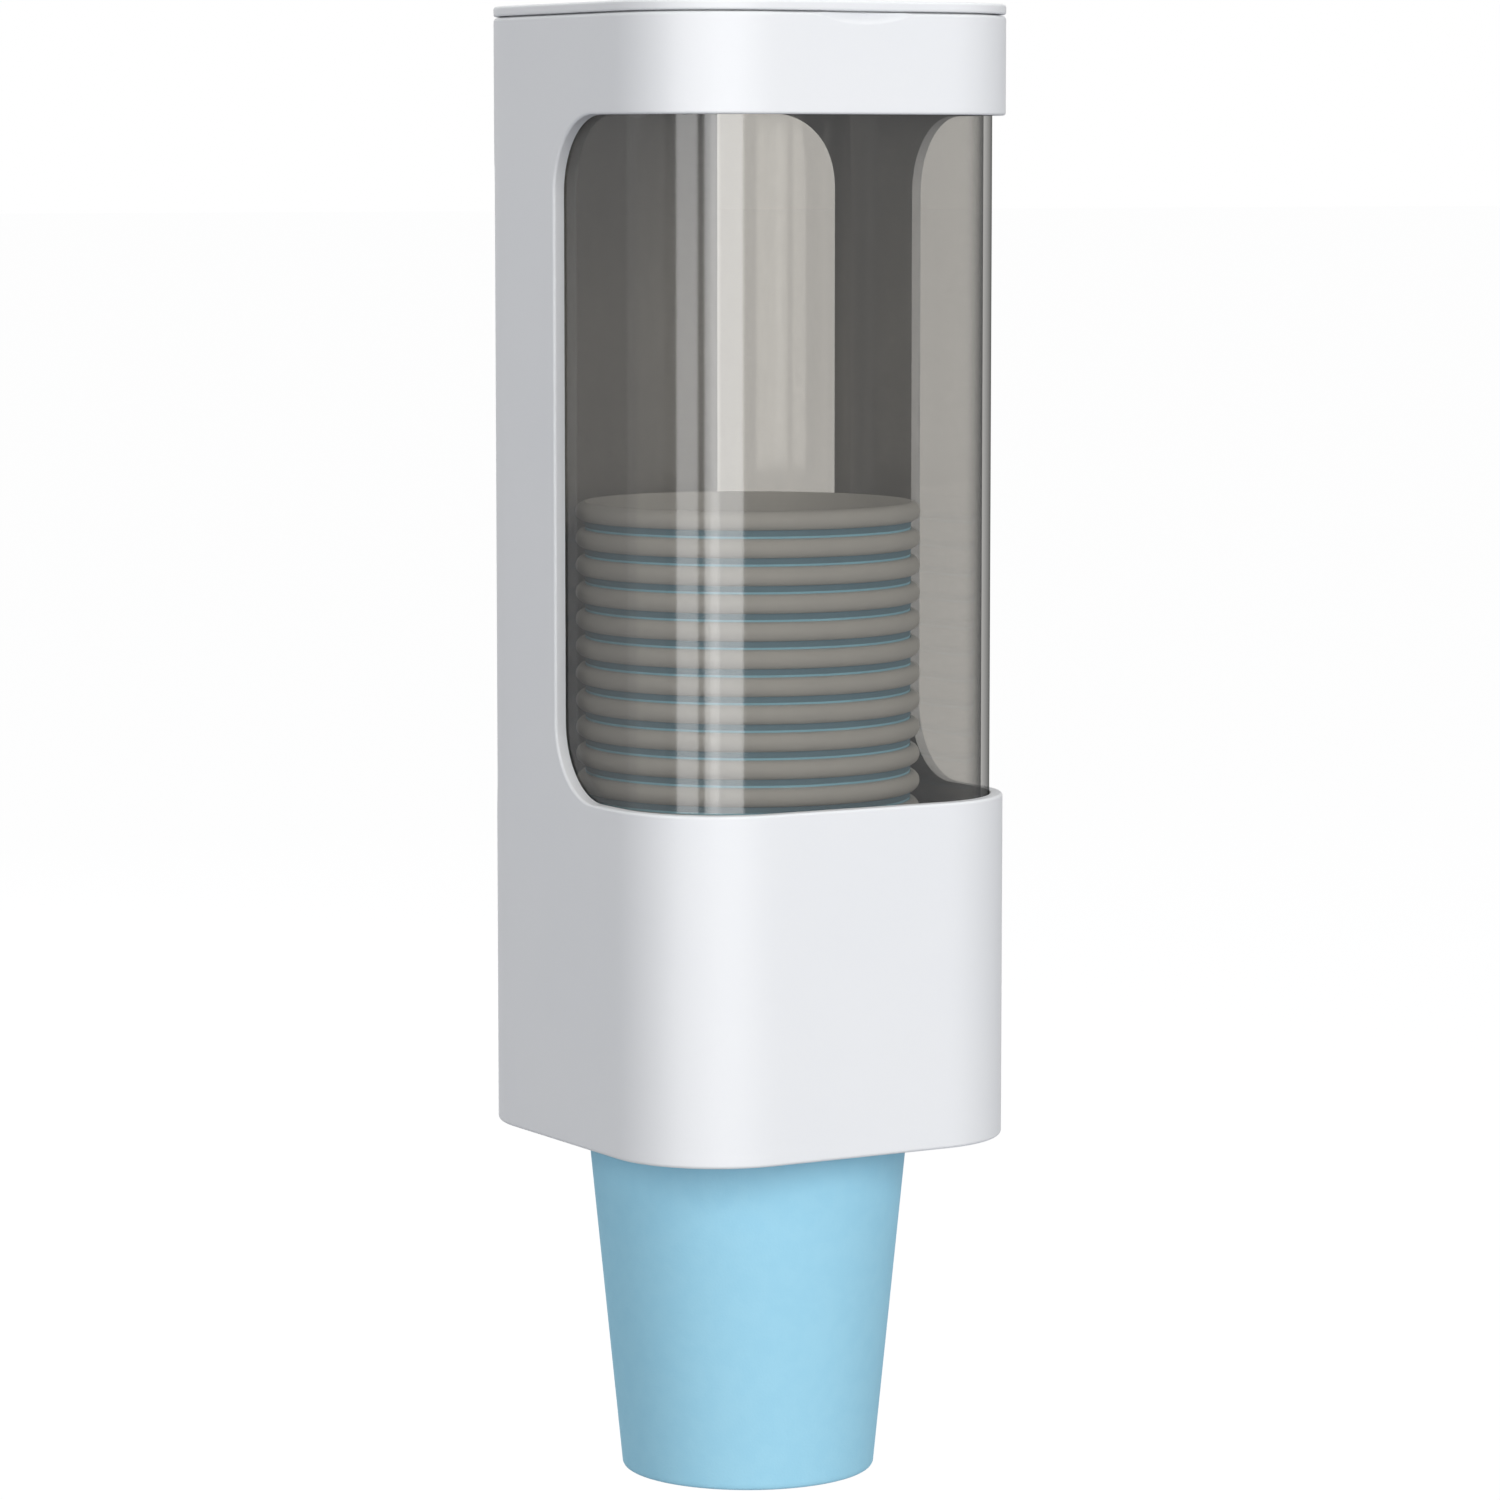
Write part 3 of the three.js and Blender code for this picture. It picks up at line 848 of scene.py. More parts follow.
@dataclass(frozen=True)
class PaperFinish:
    """Cup paper: printed outside, bare at the rim and inside; painted shade greys the bare paper and darkens
    under the rim.
    """

    name: str = "cup_paper"
    print_colours: tuple[Colour, Colour] = ((0.395, 0.75, 0.93), (0.38, 0.735, 0.92))
    print_patch: float = 0.004
    # The paper's own off-white, greyed with painted shade for the dim light inside the housing.
    bare_paper_with_painted_shade: Colour = (0.65, 0.64, 0.61)
    # Painted shade: the dark colour of the band under the rim, where the rim shades the wall.
    painted_rim_shade_colour: Colour = (0.16, 0.29, 0.37)
    fibres: Grain = Grain(0.0005, 0.00006, roughness=0.62, spread=0.08)
    shine: float = 0.18

    def build(self, effects: SharedEffects) -> Material:
        """Makes the material.

        Args:
            effects: The shared groups.

        Returns:
            The material.
        """
        web = MaterialWeb(self.name)
        where = web.where()
        printed, painted_rim_shade = (
            web.add("ShaderNodeAttribute", {"attribute_name": name}).outputs["Fac"]
            for name in (PRINTED, PAINTED_RIM_SHADE)
        )
        ink = effects.shades(web, where, self.print_patch, self.print_colours)
        paper = web.blend(printed, opaque(self.bare_paper_with_painted_shade), ink)
        # Painted shade under the rim: the marked band is painted dark.
        colour = web.blend(painted_rim_shade, paper, opaque(self.painted_rim_shade_colour))
        return effects.grained(web, where, self.fibres, Base_Color=colour, Specular_IOR_Level=self.shine)


@dataclass(frozen=True)
class SteelFinish:
    """Plain bright steel with turning marks."""

    name: str = "plain_steel"
    colour: Colour = (0.60, 0.61, 0.63)
    grain: Grain = Grain(0.0003, 0.00002, roughness=0.28, spread=0.12, strength=0.4)

    def build(self, effects: SharedEffects) -> Material:
        """Makes the material with the shared groups and returns it."""
        web = MaterialWeb(self.name)
        return effects.grained(web, web.where(), self.grain, Base_Color=opaque(self.colour), Metallic=1.0)


def every_finish() -> dict[Slot, Material]:
    """Builds the finish of each material slot, with the shared effects built once.

    Returns:
        The materials by slot.
    """
    effects = SharedEffects()
    finishes = {
        Slot.HOUSING: MouldedFinish(
            "white_gloss_plastic", ((0.875, 0.885, 0.90), (0.865, 0.877, 0.895)),
            Grain(0.0007, 0.00002, roughness=0.40, spread=0.05), shine=0.28,
        ),
        Slot.BRACKET: MouldedFinish(
            "white_matte_plastic", ((0.87, 0.875, 0.88), (0.815, 0.82, 0.83)),
            Grain(0.0005, 0.00006, roughness=0.5, spread=0.08), shine=0.4,
        ),
        Slot.RUBBER: MouldedFinish(
            "soft_white_rubber", ((0.72, 0.725, 0.72), (0.69, 0.70, 0.70)),
            Grain(0.0004, 0.00008, roughness=0.62, spread=0.1), shine=0.35, patch_size=0.012, glow_under=0.3,
        ),
        Slot.SMOKED: SmokedFinish(),
        Slot.PAPER: PaperFinish(),
        Slot.STEEL: SteelFinish(),
    }
    return {slot: finish.build(effects) for slot, finish in finishes.items()}


@dataclass(frozen=True)
class Copies:
    """A Geometry Nodes tree that sets copies of one mesh in a line, a ring or a grid."""

    name: str
    pattern: Pattern
    template: Thing
    slot: Slot
    numbers: dict[str, float]
    start: Point = (0, 0, 0)
    step: Point = (0, 0, 0)
    seed: int = 7

    def _points(self, web: NodeWeb, given: bpy.types.NodeOutputs) -> Socket:
        """Adds the node that gives the copies' places.

        Args:
            web: The tree's nodes.
            given: The tree's inputs.

        Returns:
            The mesh whose points are the places.
        """
        kind, settings, labels = {
            Pattern.LINE: ("Line", {"mode": "OFFSET"}, {"Count": "Count", "Offset": "Step"}),
            Pattern.RING: ("Circle", {}, {"Vertices": "Count", "Radius": "Radius"}),
            Pattern.GRID: ("Grid", {}, {
                "Size_X": "Width", "Size_Y": "Depth", "Vertices_X": "Columns", "Vertices_Y": "Rows",
            }),
        }[self.pattern]
        inputs = {name: given[label] for name, label in labels.items()}
        return web.add(f"GeometryNodeMesh{kind}", settings, **inputs).outputs["Mesh"]

    def _turn(self, web: NodeWeb, given: bpy.types.NodeOutputs) -> Socket:
        """Adds the nodes that turn each copy: outward on a ring, and at random elsewhere.

        Args:
            web: The tree's nodes.
            given: The tree's inputs.

        Returns:
            The rotation.
        """
        if self.pattern is Pattern.RING:
            place = web.add("GeometryNodeInputPosition").outputs["Position"]
            outward = {"axis": "X", "pivot_axis": "Z"}
            return web.add("FunctionNodeAlignRotationToVector", outward, Vector=place).outputs["Rotation"]
        chance = web.add(
            "FunctionNodeRandomValue", {"data_type": "FLOAT"}, in_3=given["Most Turn"], Seed=given["Seed"]
        )
        return web.add("ShaderNodeCombineXYZ", Z=chance.outputs[1]).outputs["Vector"]

    def build(self, workshop: Workshop) -> Thing:
        """Makes the tree, sets its inputs and turns the result into a plain mesh.

        Args:
            workshop: Where the result is made.

        Returns:
            One mesh object with every copy in it.
        """
        web = NodeWeb(bpy.data.node_groups.new(self.name, "GeometryNodeTree"))
        whole = {"Count", "Columns", "Rows"}
        sockets = web.takes({
            "Geometry": SocketKind.GEOMETRY, "Template": SocketKind.THING, "Start": SocketKind.PLACE,
            "Step": SocketKind.PLACE, "Material": SocketKind.MATERIAL,
            **{label: SocketKind.WHOLE if label in whole else SocketKind.NUMBER for label in self.numbers},
            "Seed": SocketKind.WHOLE,
        })
        given = web.add("NodeGroupInput").outputs
        template = web.add("GeometryNodeObjectInfo", Object=given["Template"]).outputs["Geometry"]
        copies = web.add(
            "GeometryNodeInstanceOnPoints",
            Points=self._points(web, given), Instance=template, Rotation=self._turn(web, given),
        ).outputs["Instances"]
        moved = web.add("GeometryNodeTransform", Geometry=copies, Translation=given["Start"])
        real = web.add("GeometryNodeRealizeInstances", Geometry=moved.outputs["Geometry"])
        finished = web.add(
            "GeometryNodeSetMaterial", Geometry=real.outputs["Geometry"], Material=given["Material"]
        )
        web.gives(SocketKind.GEOMETRY, Geometry=finished.outputs["Geometry"])

        holder = workshop.solid(Surface.box((0, 0, 0), (1, 1, 1)), self.name)
        modifier = holder.modifiers.new("copies", "NODES")
        modifier.node_group = web.tree
        values = {
            "Template": self.template, "Start": self.start, "Step": self.step,
            "Material": workshop.finishes[self.slot], "Seed": self.seed, **self.numbers,
        }
        for label, value in values.items():
            modifier[sockets[label].identifier] = value
        workshop.settle(holder)
        bpy.data.objects.remove(self.template)
        return holder


@dataclass(frozen=True)
class HousingSizes:
    """Sizes of the housing that other pieces fit to."""

    wall: float = 2.5
    corner_radius: float = 24
    headroom: float = 4.3
    boss_radius: float = 3.6
    boss_bite: float = 0.4
    screw_radius: float = 1.3
    bracket_thickness: float = 4
    hinge_rise: float = 1.2
    knuckle_length: float = 23.4
    ear_length: float = 4
    knuckle_body_gap: float = 0.4
    knuckle_radius: float = 1.7
    pin_radius: float = 0.8


@dataclass
class Layout:
    """Places that several pieces share, worked out from the frame."""

    datum: Datum
    sizes: HousingSizes = field(default_factory=HousingSizes)

    def __post_init__(self) -> None:
        """Reads the frame's boxes."""
        sizes = self.sizes
        self.sleeve_low, self.sleeve_high = self.datum.span("window_sleeve")
        around = sizes.wall + FIT_GAP
        self.plan = Plan(self.sleeve_high.x + around, self.sleeve_high.y + around, sizes.corner_radius)
        self.top = self.sleeve_high.z + sizes.headroom
        self.wall_plane = self.plan.half_y + FIT_GAP + sizes.bracket_thickness
        self.hinge_y = self.plan.half_y + sizes.knuckle_body_gap + sizes.knuckle_radius
        self.hinge_z = self.top + sizes.hinge_rise
        reach = (sizes.corner_radius - sizes.wall - sizes.boss_radius + sizes.boss_bite) * DIAGONAL
        self.boss_x = self.plan.flat + reach
        self.boss_y = self.plan.half_y - sizes.corner_radius + reach
        self.boss_places = [(x * self.boss_x, y * self.boss_y) for x, y in CORNERS]

    def hinge_bar(self, radius: float, start: float, end: float, steps: int = 32) -> Surface:
        """A round bar along the hinge axis."""
        return Surface.bar(arc(radius, full_turn(steps), self.hinge_y, self.hinge_z), start, end)


@dataclass
class Maker:
    """What every sub-assembly is made with."""

    layout: Layout
    workshop: Workshop


@dataclass
class Housing(Maker):
    """The moulded housing: one shell with two wrap-around windows, its bosses, ribs, claws and ears."""

    edge_rounding: float = 0.75
    edge_steps: int = 4
    window_corner: float = 16
    window_rounding: float = 0.6
    block_height: float = 72.7
    front_window_height: float = 141.9
    front_window_rear_edge: float = 2.8
    rear_window_low: float = 58.8
    rear_window_high: float = 215.5
    rear_window_girth: float = 97.4
    scoop_width: float = 27
    scoop_drop: float = 2.6
    scoop_steps: int = 240
    scoop_section: tuple[Flat, ...] = ((-OVERRUN, 1.0), (0, 1.0), (0.25, 0.985), (0.8, 0.962), (1.7, 0.934))
    boss_low: float = 3.6
    boss_steps: int = 40
    rib_thickness: float = 1.8
    rib_reach: float = 38.2
    root_bite: float = 0.8
    pilot_depth: float = 12
    pilot_steps: int = 24
    bracket_width: float = 40
    bracket_bevel: float = 2
    claw_height: float = 8
    claw_thickness: float = 3.4
    claw_wall_gap: float = 0.6
    claw_tip_share: float = 0.3
    claw_softness: float = 0.25
    claw_rises: tuple[float, float] = (30, 217)
    ledge_width: float = 24
    ledge_height: float = 2.8
    ledge_softness: float = 0.35
    bracket_head_drop: float = 9.1
    ear_drop: float = 6.5
    ear_steps: int = 16
    corner_steps: int = 20
    rounding_steps: int = 8

    def _shell(self) -> Surface:
        """The plain tube with softened ends.

        Returns:
            The tube.
        """
        plan, top, wall = self.layout.plan, self.layout.top, self.layout.sizes.wall
        outer = plan.rounded_end(0, 0, self.edge_rounding, self.edge_steps, up=-1)
        outer += plan.rounded_end(0, top, self.edge_rounding, self.edge_steps)
        return Surface.loft([*outer, plan.ring(wall, top), plan.ring(wall, 0)], closed=True)

    def _window_edge(self, half_girth: float, top: float) -> list[tuple[float, float, float, float]]:
        """Half of a window's upper edge, from its end to the middle.

        Args:
            half_girth: Half of the window's width along the surface.
            top: The height of its upper edge.

        Returns:
            Girth, height and the two parts of the outward direction at each station.
        """
        plan, corner = self.layout.plan, self.window_corner
        shoulder = half_girth - corner
        stations = []
        for angle in quarter_angles(self.corner_steps):
            out_u, out_z = math.cos(angle), math.sin(angle)
            stations.append((shoulder + corner * out_u, top - corner + corner * out_z, out_u, out_z))
        for step in range(plan.steps, -1, -1):
            girth = plan.flat + plan.bend * step / plan.steps
            if girth < shoulder:
                stations.append((girth, top, 0.0, 1.0))
        return stations

    def _window(self, half_girth: float, low: float, top: float, rear: bool) -> Surface:
        """A cutter for one window, flared so that the wall's outer edge comes out rounded.

        Args:
            half_girth: Half of the window's width along the surface.
            low: The height of its lower edge.
            top: The height of its upper edge.
            rear: Whether it wraps the rear, and not the front.

        Returns:
            The cutter.
        """
        plan, rounding = self.layout.plan, self.window_rounding
        half = self._window_edge(half_girth, top)
        upper = half + [(-u, z, -out_u, out_z) for u, z, out_u, out_z in reversed(half)]
        lower = [(u, low + top - z, out_u, -out_z) for u, z, out_u, out_z in reversed(upper)]
        soft = [
            (-rounding * (1 - math.sin(a)), rounding * (1 - math.cos(a)))
            for a in quarter_angles(self.rounding_steps)
        ]
        levels = [(-self.layout.sizes.wall - OVERRUN, 0.0), *soft, (OVERRUN, rounding)]
        facing = -1 if rear else 1
        rings = []
        for offset, flare in levels:
            ring = [plan.on_surface(u + ou * flare, offset, z + oz * flare) for u, z, ou, oz in upper + lower]
            rings.append([(x, facing * y, z) for x, y, z in ring])
        count = len(upper)
        ladder = [[i, i + 1, 2 * count - 2 - i, 2 * count - 1 - i] for i in range(count - 1)]
        return Surface.loft(rings, caps=ladder)

    def _scoop(self) -> Surface:
        """The shallow fingertip scoop in the front wall, under the lid.

        Returns:
            The cutter.
        """
        layout = self.layout
        radius = (self.scoop_width**2 / 4 + self.scoop_drop**2) / (2 * self.scoop_drop)
        angles = full_turn(self.scoop_steps)
        centre = layout.top - self.scoop_drop + radius
        front = -layout.plan.half_y
        return Surface.loft([
            [(x, front + deep, z) for x, z in arc(share * radius, angles, y=centre)]
            for deep, share in self.scoop_section
        ])

    def _inside(self) -> Surface:
        """Bosses in the corners and guide ribs in the middle of each side.

        Returns:
            All of them, as one surface.
        """
        layout = self.layout
        top = layout.sleeve_low.z - FIT_GAP
        boss = Surface.disc(layout.sizes.boss_radius, self.boss_low, top, self.boss_steps)
        half = self.rib_thickness / 2
        deep = self.root_bite - layout.sizes.wall
        ribs = []
        for side in SIDES:
            near_x, far_x = sorted((side * self.rib_reach, side * (layout.plan.half_x + deep)))
            near_y, far_y = sorted((side * self.rib_reach, side * (layout.plan.half_y + deep)))
            ribs.append(Surface.box((near_x, -half, self.boss_low), (far_x, half, top)))
            ribs.append(Surface.box((-half, near_y, self.boss_low), (half, far_y, top)))
        return Surface.gathered([boss.at_each(layout.boss_places), *ribs])

    def _claw(self, side: int, low: float) -> Surface:
        """One claw, undercut along the bracket's bevelled edge.

        Args:
            side: 1 for the one on the right and -1 for the left.
            low: Where it starts in height.

        Returns:
            The claw.
        """
        layout = self.layout
        back, thick = layout.plan.half_y, layout.sizes.bracket_thickness
        lean = self.bracket_bevel / thick
        slack = FIT_GAP * math.hypot(1, lean)
        front = layout.wall_plane - thick

        def inner_at(y: float) -> float:
            """Half the width between the claws at a depth."""
            return self.bracket_width / 2 + slack - lean * (y - front)

        root, tip = back - self.root_bite, layout.wall_plane - self.claw_wall_gap
        outer = self.bracket_width / 2 + self.claw_thickness
        gap, less = self.claw_wall_gap, self.claw_wall_gap * self.claw_tip_share
        outline = [
            (inner_at(back), root), (outer, root), (outer, tip - gap), (outer - less, tip - less),
            (outer - gap, tip), (inner_at(tip), tip), (inner_at(back), back),
        ]
        return Surface.prism([(side * x, y) for x, y in outline], low, low + self.claw_height)

    def _ear(self, start: float, end: float) -> Surface:
        """One ear on the back, which holds an end of the hinge pin.

        Args:
            start: Where it starts along x.
            end: Where it ends.

        Returns:
            The ear.
        """
        layout = self.layout
        radius, y, z = layout.sizes.knuckle_radius, layout.hinge_y, layout.hinge_z
        root = layout.plan.half_y - self.root_bite
        angles = [math.pi * step / self.ear_steps for step in range(self.ear_steps + 1)]
        foot = z - self.ear_drop - radius
        shoulder = layout.top - self.edge_rounding
        outline = [
            (root, foot), (layout.plan.half_y, foot), (y + radius, z - self.ear_drop / 2 - radius),
            *arc(radius, angles, y, z), (y - radius, shoulder), (root, shoulder),
        ]
        return Surface.bar(outline, start, end)

    def build(self) -> None:
        """Makes the housing and puts it in the frame."""
        layout, shop, sizes = self.layout, self.workshop, self.layout.sizes
        plan = layout.plan
        front_girth = plan.flat + plan.bend + plan.half_y - plan.radius + self.front_window_rear_edge
        front_top = self.block_height + self.front_window_height
        housing = shop.solid(self._shell())
        shop.change(housing, self._window(front_girth, self.block_height, front_top, False), Cut.CUT)
        rear = self._window(self.rear_window_girth / 2, self.rear_window_low, self.rear_window_high, True)
        shop.change(housing, rear, Cut.CUT)
        shop.change(housing, self._scoop(), Cut.CUT)
        shop.change(housing, self._inside(), Cut.JOIN)

        claws = [self._claw(side, low) for side in SIDES for low in self.claw_rises]
        outside = shop.solid(Surface.gathered(claws))
        shop.soften(outside, self.claw_softness)
        shop.change(housing, outside, Cut.JOIN)
        ledge_low = layout.top - self.bracket_head_drop + FIT_GAP
        ledge = shop.solid(Surface.box(
            (-self.ledge_width / 2, plan.half_y - self.root_bite, ledge_low),
            (self.ledge_width / 2, layout.wall_plane - self.claw_wall_gap, ledge_low + self.ledge_height),
        ))
        shop.soften(ledge, self.ledge_softness, segments=3)
        shop.change(housing, ledge, Cut.JOIN)
        near = sizes.knuckle_length / 2 + FIT_GAP
        far = near + sizes.ear_length
        for start, end in ((-far, -near), (near, far)):
            shop.change(housing, self._ear(start, end), Cut.JOIN)

        low, high = self.boss_low - OVERRUN, self.boss_low + self.pilot_depth
        pilot = Surface.disc(sizes.screw_radius + FIT_GAP, low, high, self.pilot_steps)
        shop.change(housing, pilot.at_each(layout.boss_places), Cut.CUT)
        reach = far + OVERRUN
        shop.change(housing, layout.hinge_bar(sizes.pin_radius + FIT_GAP, -reach, reach), Cut.CUT)
        shop.shade(housing)
        shop.deliver(housing, "moulded_housing", Body.DISPENSER, Slot.HOUSING, "housing_shell")


@dataclass
class Sleeve(Maker):
    """The smoked sleeve behind the windows."""

    wall: float = 1.8
    edge_rounding: float = 0.4
    edge_steps: int = 3
    sharp: float = 40

    def build(self) -> None:
        """Makes the sleeve and puts it in the frame."""
        layout = self.layout
        outer = layout.sizes.wall + FIT_GAP
        inner = outer + self.wall
        low, high = layout.sleeve_low.z, layout.sleeve_high.z
        edges = ((outer, low, -1, 1), (outer, high, 1, 1), (inner, high, 1, -1), (inner, low, -1, -1))
        rings = []
        for inset, end, up, side in edges:
            rings += layout.plan.rounded_end(inset, end, self.edge_rounding, self.edge_steps, up, side)
        sleeve = self.workshop.solid(Surface.loft(rings, closed=True))
        self.workshop.shade(sleeve, self.sharp)
        self.workshop.deliver(sleeve, "smoked_sleeve", Body.DISPENSER, Slot.SMOKED, "window_sleeve")


@dataclass
class Lid(Maker):
    """The hinged lid with its locating lip and knuckle, and the hinge pin."""

    thickness: float = 2.1
    edge_rounding: float = 0.6
    edge_steps: int = 6
    under_rounding: float = 0.45
    under_steps: int = 3
    lip_inset: float = 3
    lip_wall: float = 1.6
    pin_head_radius: float = 1.25
    pin_head_length: float = 0.7
    pin_head_steps: int = 6
    pin_lead: float = 0.3
    pin_steps: int = 32

    def _build_lid(self) -> None:
        """Makes the lid and puts it in the frame."""
        layout, shop, sizes = self.layout, self.workshop, self.layout.sizes
        plan = layout.plan
        low = layout.top + FIT_GAP
        high = low + self.thickness
        rings = plan.rounded_end(0, low, self.under_rounding, self.under_steps, up=-1)
        rings += plan.rounded_end(0, high, self.edge_rounding, self.edge_steps)
        lid = shop.solid(Surface.loft(rings))
        lip_low = layout.sleeve_high.z + FIT_GAP
        outer, inner = self.lip_inset, self.lip_inset + self.lip_wall
        middle = low + self.thickness / 2
        lead = self.lip_wall / 4
        lip = [
            plan.ring(outer + lead, lip_low), plan.ring(outer, lip_low + lead), plan.ring(outer, middle),
            plan.ring(inner, middle), plan.ring(inner, lip_low + lead), plan.ring(inner - lead, lip_low),
        ]
        shop.change(lid, Surface.loft(lip, closed=True), Cut.JOIN)
        half = sizes.knuckle_length / 2
        web = Surface.box(
            (-half, plan.half_y - plan.radius / 2, low), (half, layout.hinge_y, high - self.edge_rounding)
        )
        shop.change(lid, web, Cut.JOIN)
        shop.change(lid, layout.hinge_bar(sizes.knuckle_radius, -half, half), Cut.JOIN)
        bore = layout.hinge_bar(sizes.pin_radius + FIT_GAP, -half - OVERRUN, half + OVERRUN)
        shop.change(lid, bore, Cut.CUT)
        shop.shade(lid)
        shop.deliver(lid, "hinged_lid", Body.LID, Slot.HOUSING, "lid")

    def _build_pin(self) -> None:
        """Makes the headed hinge pin and puts it in the frame."""
        layout, sizes = self.layout, self.layout.sizes
        reach = sizes.knuckle_length / 2 + FIT_GAP + sizes.ear_length + FIT_GAP
        head = reach + self.pin_head_length
        shank, crown = sizes.pin_radius, self.pin_head_radius
        lead = shank * self.pin_lead
        profile = [(0, -head), (shank - lead, -head), (shank, -head + lead), (shank, reach), (crown, reach)]
        profile += [
            (crown * math.cos(a), reach + self.pin_head_length * math.sin(a))
            for a in quarter_angles(self.pin_head_steps)[1:-1]
        ]
        profile.append((0, head))
        lying = Surface.turned(profile, self.pin_steps).through(Matrix.Rotation(math.pi / 2, 4, "Y"))
        pin = self.workshop.solid(lying.moved(0, layout.hinge_y, layout.hinge_z))
        self.workshop.shade(pin)
        self.workshop.deliver(pin, "hinge_pin", Body.DISPENSER, Slot.STEEL, "lid_hinge_pin")

    def build(self) -> None:
        """Makes the lid and its pin."""
        self._build_lid()
        self._build_pin()


@dataclass
class CupGrip(Maker):
    """What holds the stack: the soft gasket with its fingers, the clamp ring and the four screws."""

    gasket_margin: float = 0.7
    finger_count: int = 16
    finger_length: float = 2.9
    finger_slit: float = 1.0
    finger_rounding: float = 0.25
    finger_root: float = 0.6
    finger_steps: int = 8
    tip_radius: float = 34.871
    tip_relief: float = 0.5
    tip_power: int = 6
    gasket_mouth_steps: int = 192
    bore_steps: int = 24
    mouth_radius: float = 38.2
    mouth_flare: float = 1.1
    mouth_steps: int = 160
    flare_steps: int = 8
    clamp_rounding: float = 0.3
    clamp_steps: int = 3
    head_radius: float = 2.8
    head_height: float = 1.4
    head_edge: float = 0.1
    screw_length: float = 11
    screw_point: float = 1.2
    screw_tip: float = 0.3
    screw_steps: int = 32
    screw_sharp: float = 30
    thread_pitch: float = 0.8
    thread_depth: float = 0.28
    thread_start: float = 0.5
    recess_width: float = 0.62
    recess_reach: float = 1.45
    recess_section: tuple[Flat, ...] = ((-OVERRUN, 1.0), (0.0, 1.0), (0.95, 0.55))

    def _finger(self, low: float, high: float) -> Surface:
        """One finger with a rounded tip, which points inward, with its root's middle at x = 0.

        Args:
            low: The height of the gasket's lower face.
            high: The height of its upper face.

        Returns:
            The finger.
        """
        root = self.tip_radius + self.finger_length
        share = 2 * math.pi / self.finger_count
        soft, steps = self.finger_rounding, self.finger_steps
        rings = []
        for inset, z in ((soft, low), (0.0, low + soft), (0.0, high - soft), (soft, high)):
            tip, back = self.tip_radius + inset, root + self.finger_root
            tip_half = share / 2 - (self.finger_slit / 2 + inset) / tip
            back_half = share / 2 - (self.finger_slit / 2 + inset) / root
            near = [tip_half * (1 - 2 * s / steps) for s in range(steps + 1)]
            far = [back_half * (2 * s / steps - 1) for s in range(steps + 1)]
            curve = [(tip + self.tip_relief * (abs(a) / tip_half) ** self.tip_power, a) for a in near]
            curve += [(back, a) for a in far]
            rings.append([(r * math.cos(a) - root, r * math.sin(a), z) for r, a in curve])
        return Surface.loft(rings)

    def _build_gasket(self) -> None:
        """Makes the gasket and puts it in the frame."""
        layout, shop = self.layout, self.workshop
        low, high = (corner.z for corner in layout.datum.span("cup_gasket"))
        inset = layout.sizes.wall + self.gasket_margin
        gasket = shop.solid(Surface.prism(layout.plan.outline(inset), low, high))
        root = self.tip_radius + self.finger_length
        below, above = low - OVERRUN, high + OVERRUN
        shop.change(gasket, Surface.disc(root, below, above, self.gasket_mouth_steps), Cut.CUT)
        bore = Surface.disc(layout.sizes.screw_radius + FIT_GAP, below, above, self.bore_steps)
        shop.change(gasket, bore.at_each(layout.boss_places), Cut.CUT)
        fingers = Copies(
            "gasket_fingers", Pattern.RING, shop.solid(self._finger(low, high), "finger"), Slot.RUBBER,
            {"Count": self.finger_count, "Radius": root},
        ).build(shop)
        shop.change(gasket, fingers, Cut.JOIN)
        shop.shade(gasket)
        shop.deliver(gasket, "grip_gasket", Body.DISPENSER, Slot.RUBBER, "cup_gasket")

    def _build_clamp(self) -> None:
        """Makes the clamp ring and puts it in the frame."""
        layout, shop = self.layout, self.workshop
        low, high = (corner.z for corner in layout.datum.span("clamp_ring"))
        inset = layout.sizes.wall + FIT_GAP
        rings = layout.plan.rounded_end(inset, low, self.clamp_rounding, self.clamp_steps, up=-1)
        rings.append(layout.plan.ring(inset, high))
        ring = shop.solid(Surface.loft(rings))
        mouth, flare = self.mouth_radius, self.mouth_flare
        soft = [
            (mouth + flare * (1 - math.sin(a)), low + flare * (1 - math.cos(a)))
            for a in quarter_angles(self.flare_steps)
        ]
        below, above = low - OVERRUN, high + OVERRUN
        profile = [(0, below), (mouth + flare, below), *soft, (mouth, above), (0, above)]
        shop.change(ring, Surface.turned(profile, self.mouth_steps), Cut.CUT)
        head, shank = self.head_radius + FIT_GAP, layout.sizes.screw_radius + FIT_GAP
        sink = Surface.sunk_hole(head, shank, self.head_height, (low, high), self.screw_steps)
        shop.change(ring, sink.at_each(layout.boss_places), Cut.CUT)
        shop.shade(ring)
        shop.deliver(ring, "clamp_plate", Body.DISPENSER, Slot.BRACKET, "clamp_ring")

    def _screw(self) -> Thing:
        """One countersunk screw with a cross recess and a threaded shank, head at z = 0.

        Returns:
            The screw.
        """
        shank = self.layout.sizes.screw_radius
        pitch, core, edge = self.thread_pitch, shank - self.thread_depth, self.head_edge
        profile = [(0, 0), (self.head_radius - edge, 0), (self.head_radius, edge), (shank, self.head_height)]
        z, point = self.head_height + self.thread_start, self.screw_length - self.screw_point
        while z + pitch < point:
            profile += [(core, z), (shank, z + pitch / 2), (core, z + pitch)]
            z += pitch
        profile += [(core, point), (core / 2, self.screw_length - self.screw_tip), (0, self.screw_length)]
        screw = self.workshop.solid(Surface.turned(profile, self.screw_steps), "screw")
        half, reach = self.recess_width / 2, self.recess_reach
        rings = [
            [(x * reach * share, y * half * share, z) for x, y in ((-1, -1), (1, -1), (1, 1), (-1, 1))]
            for z, share in self.recess_section
        ]
        for turn in (0, math.pi / 2):
            bar = Surface.loft(rings).through(Matrix.Rotation(turn, 4, "Z"))
            self.workshop.change(screw, bar, Cut.CUT)
        return screw

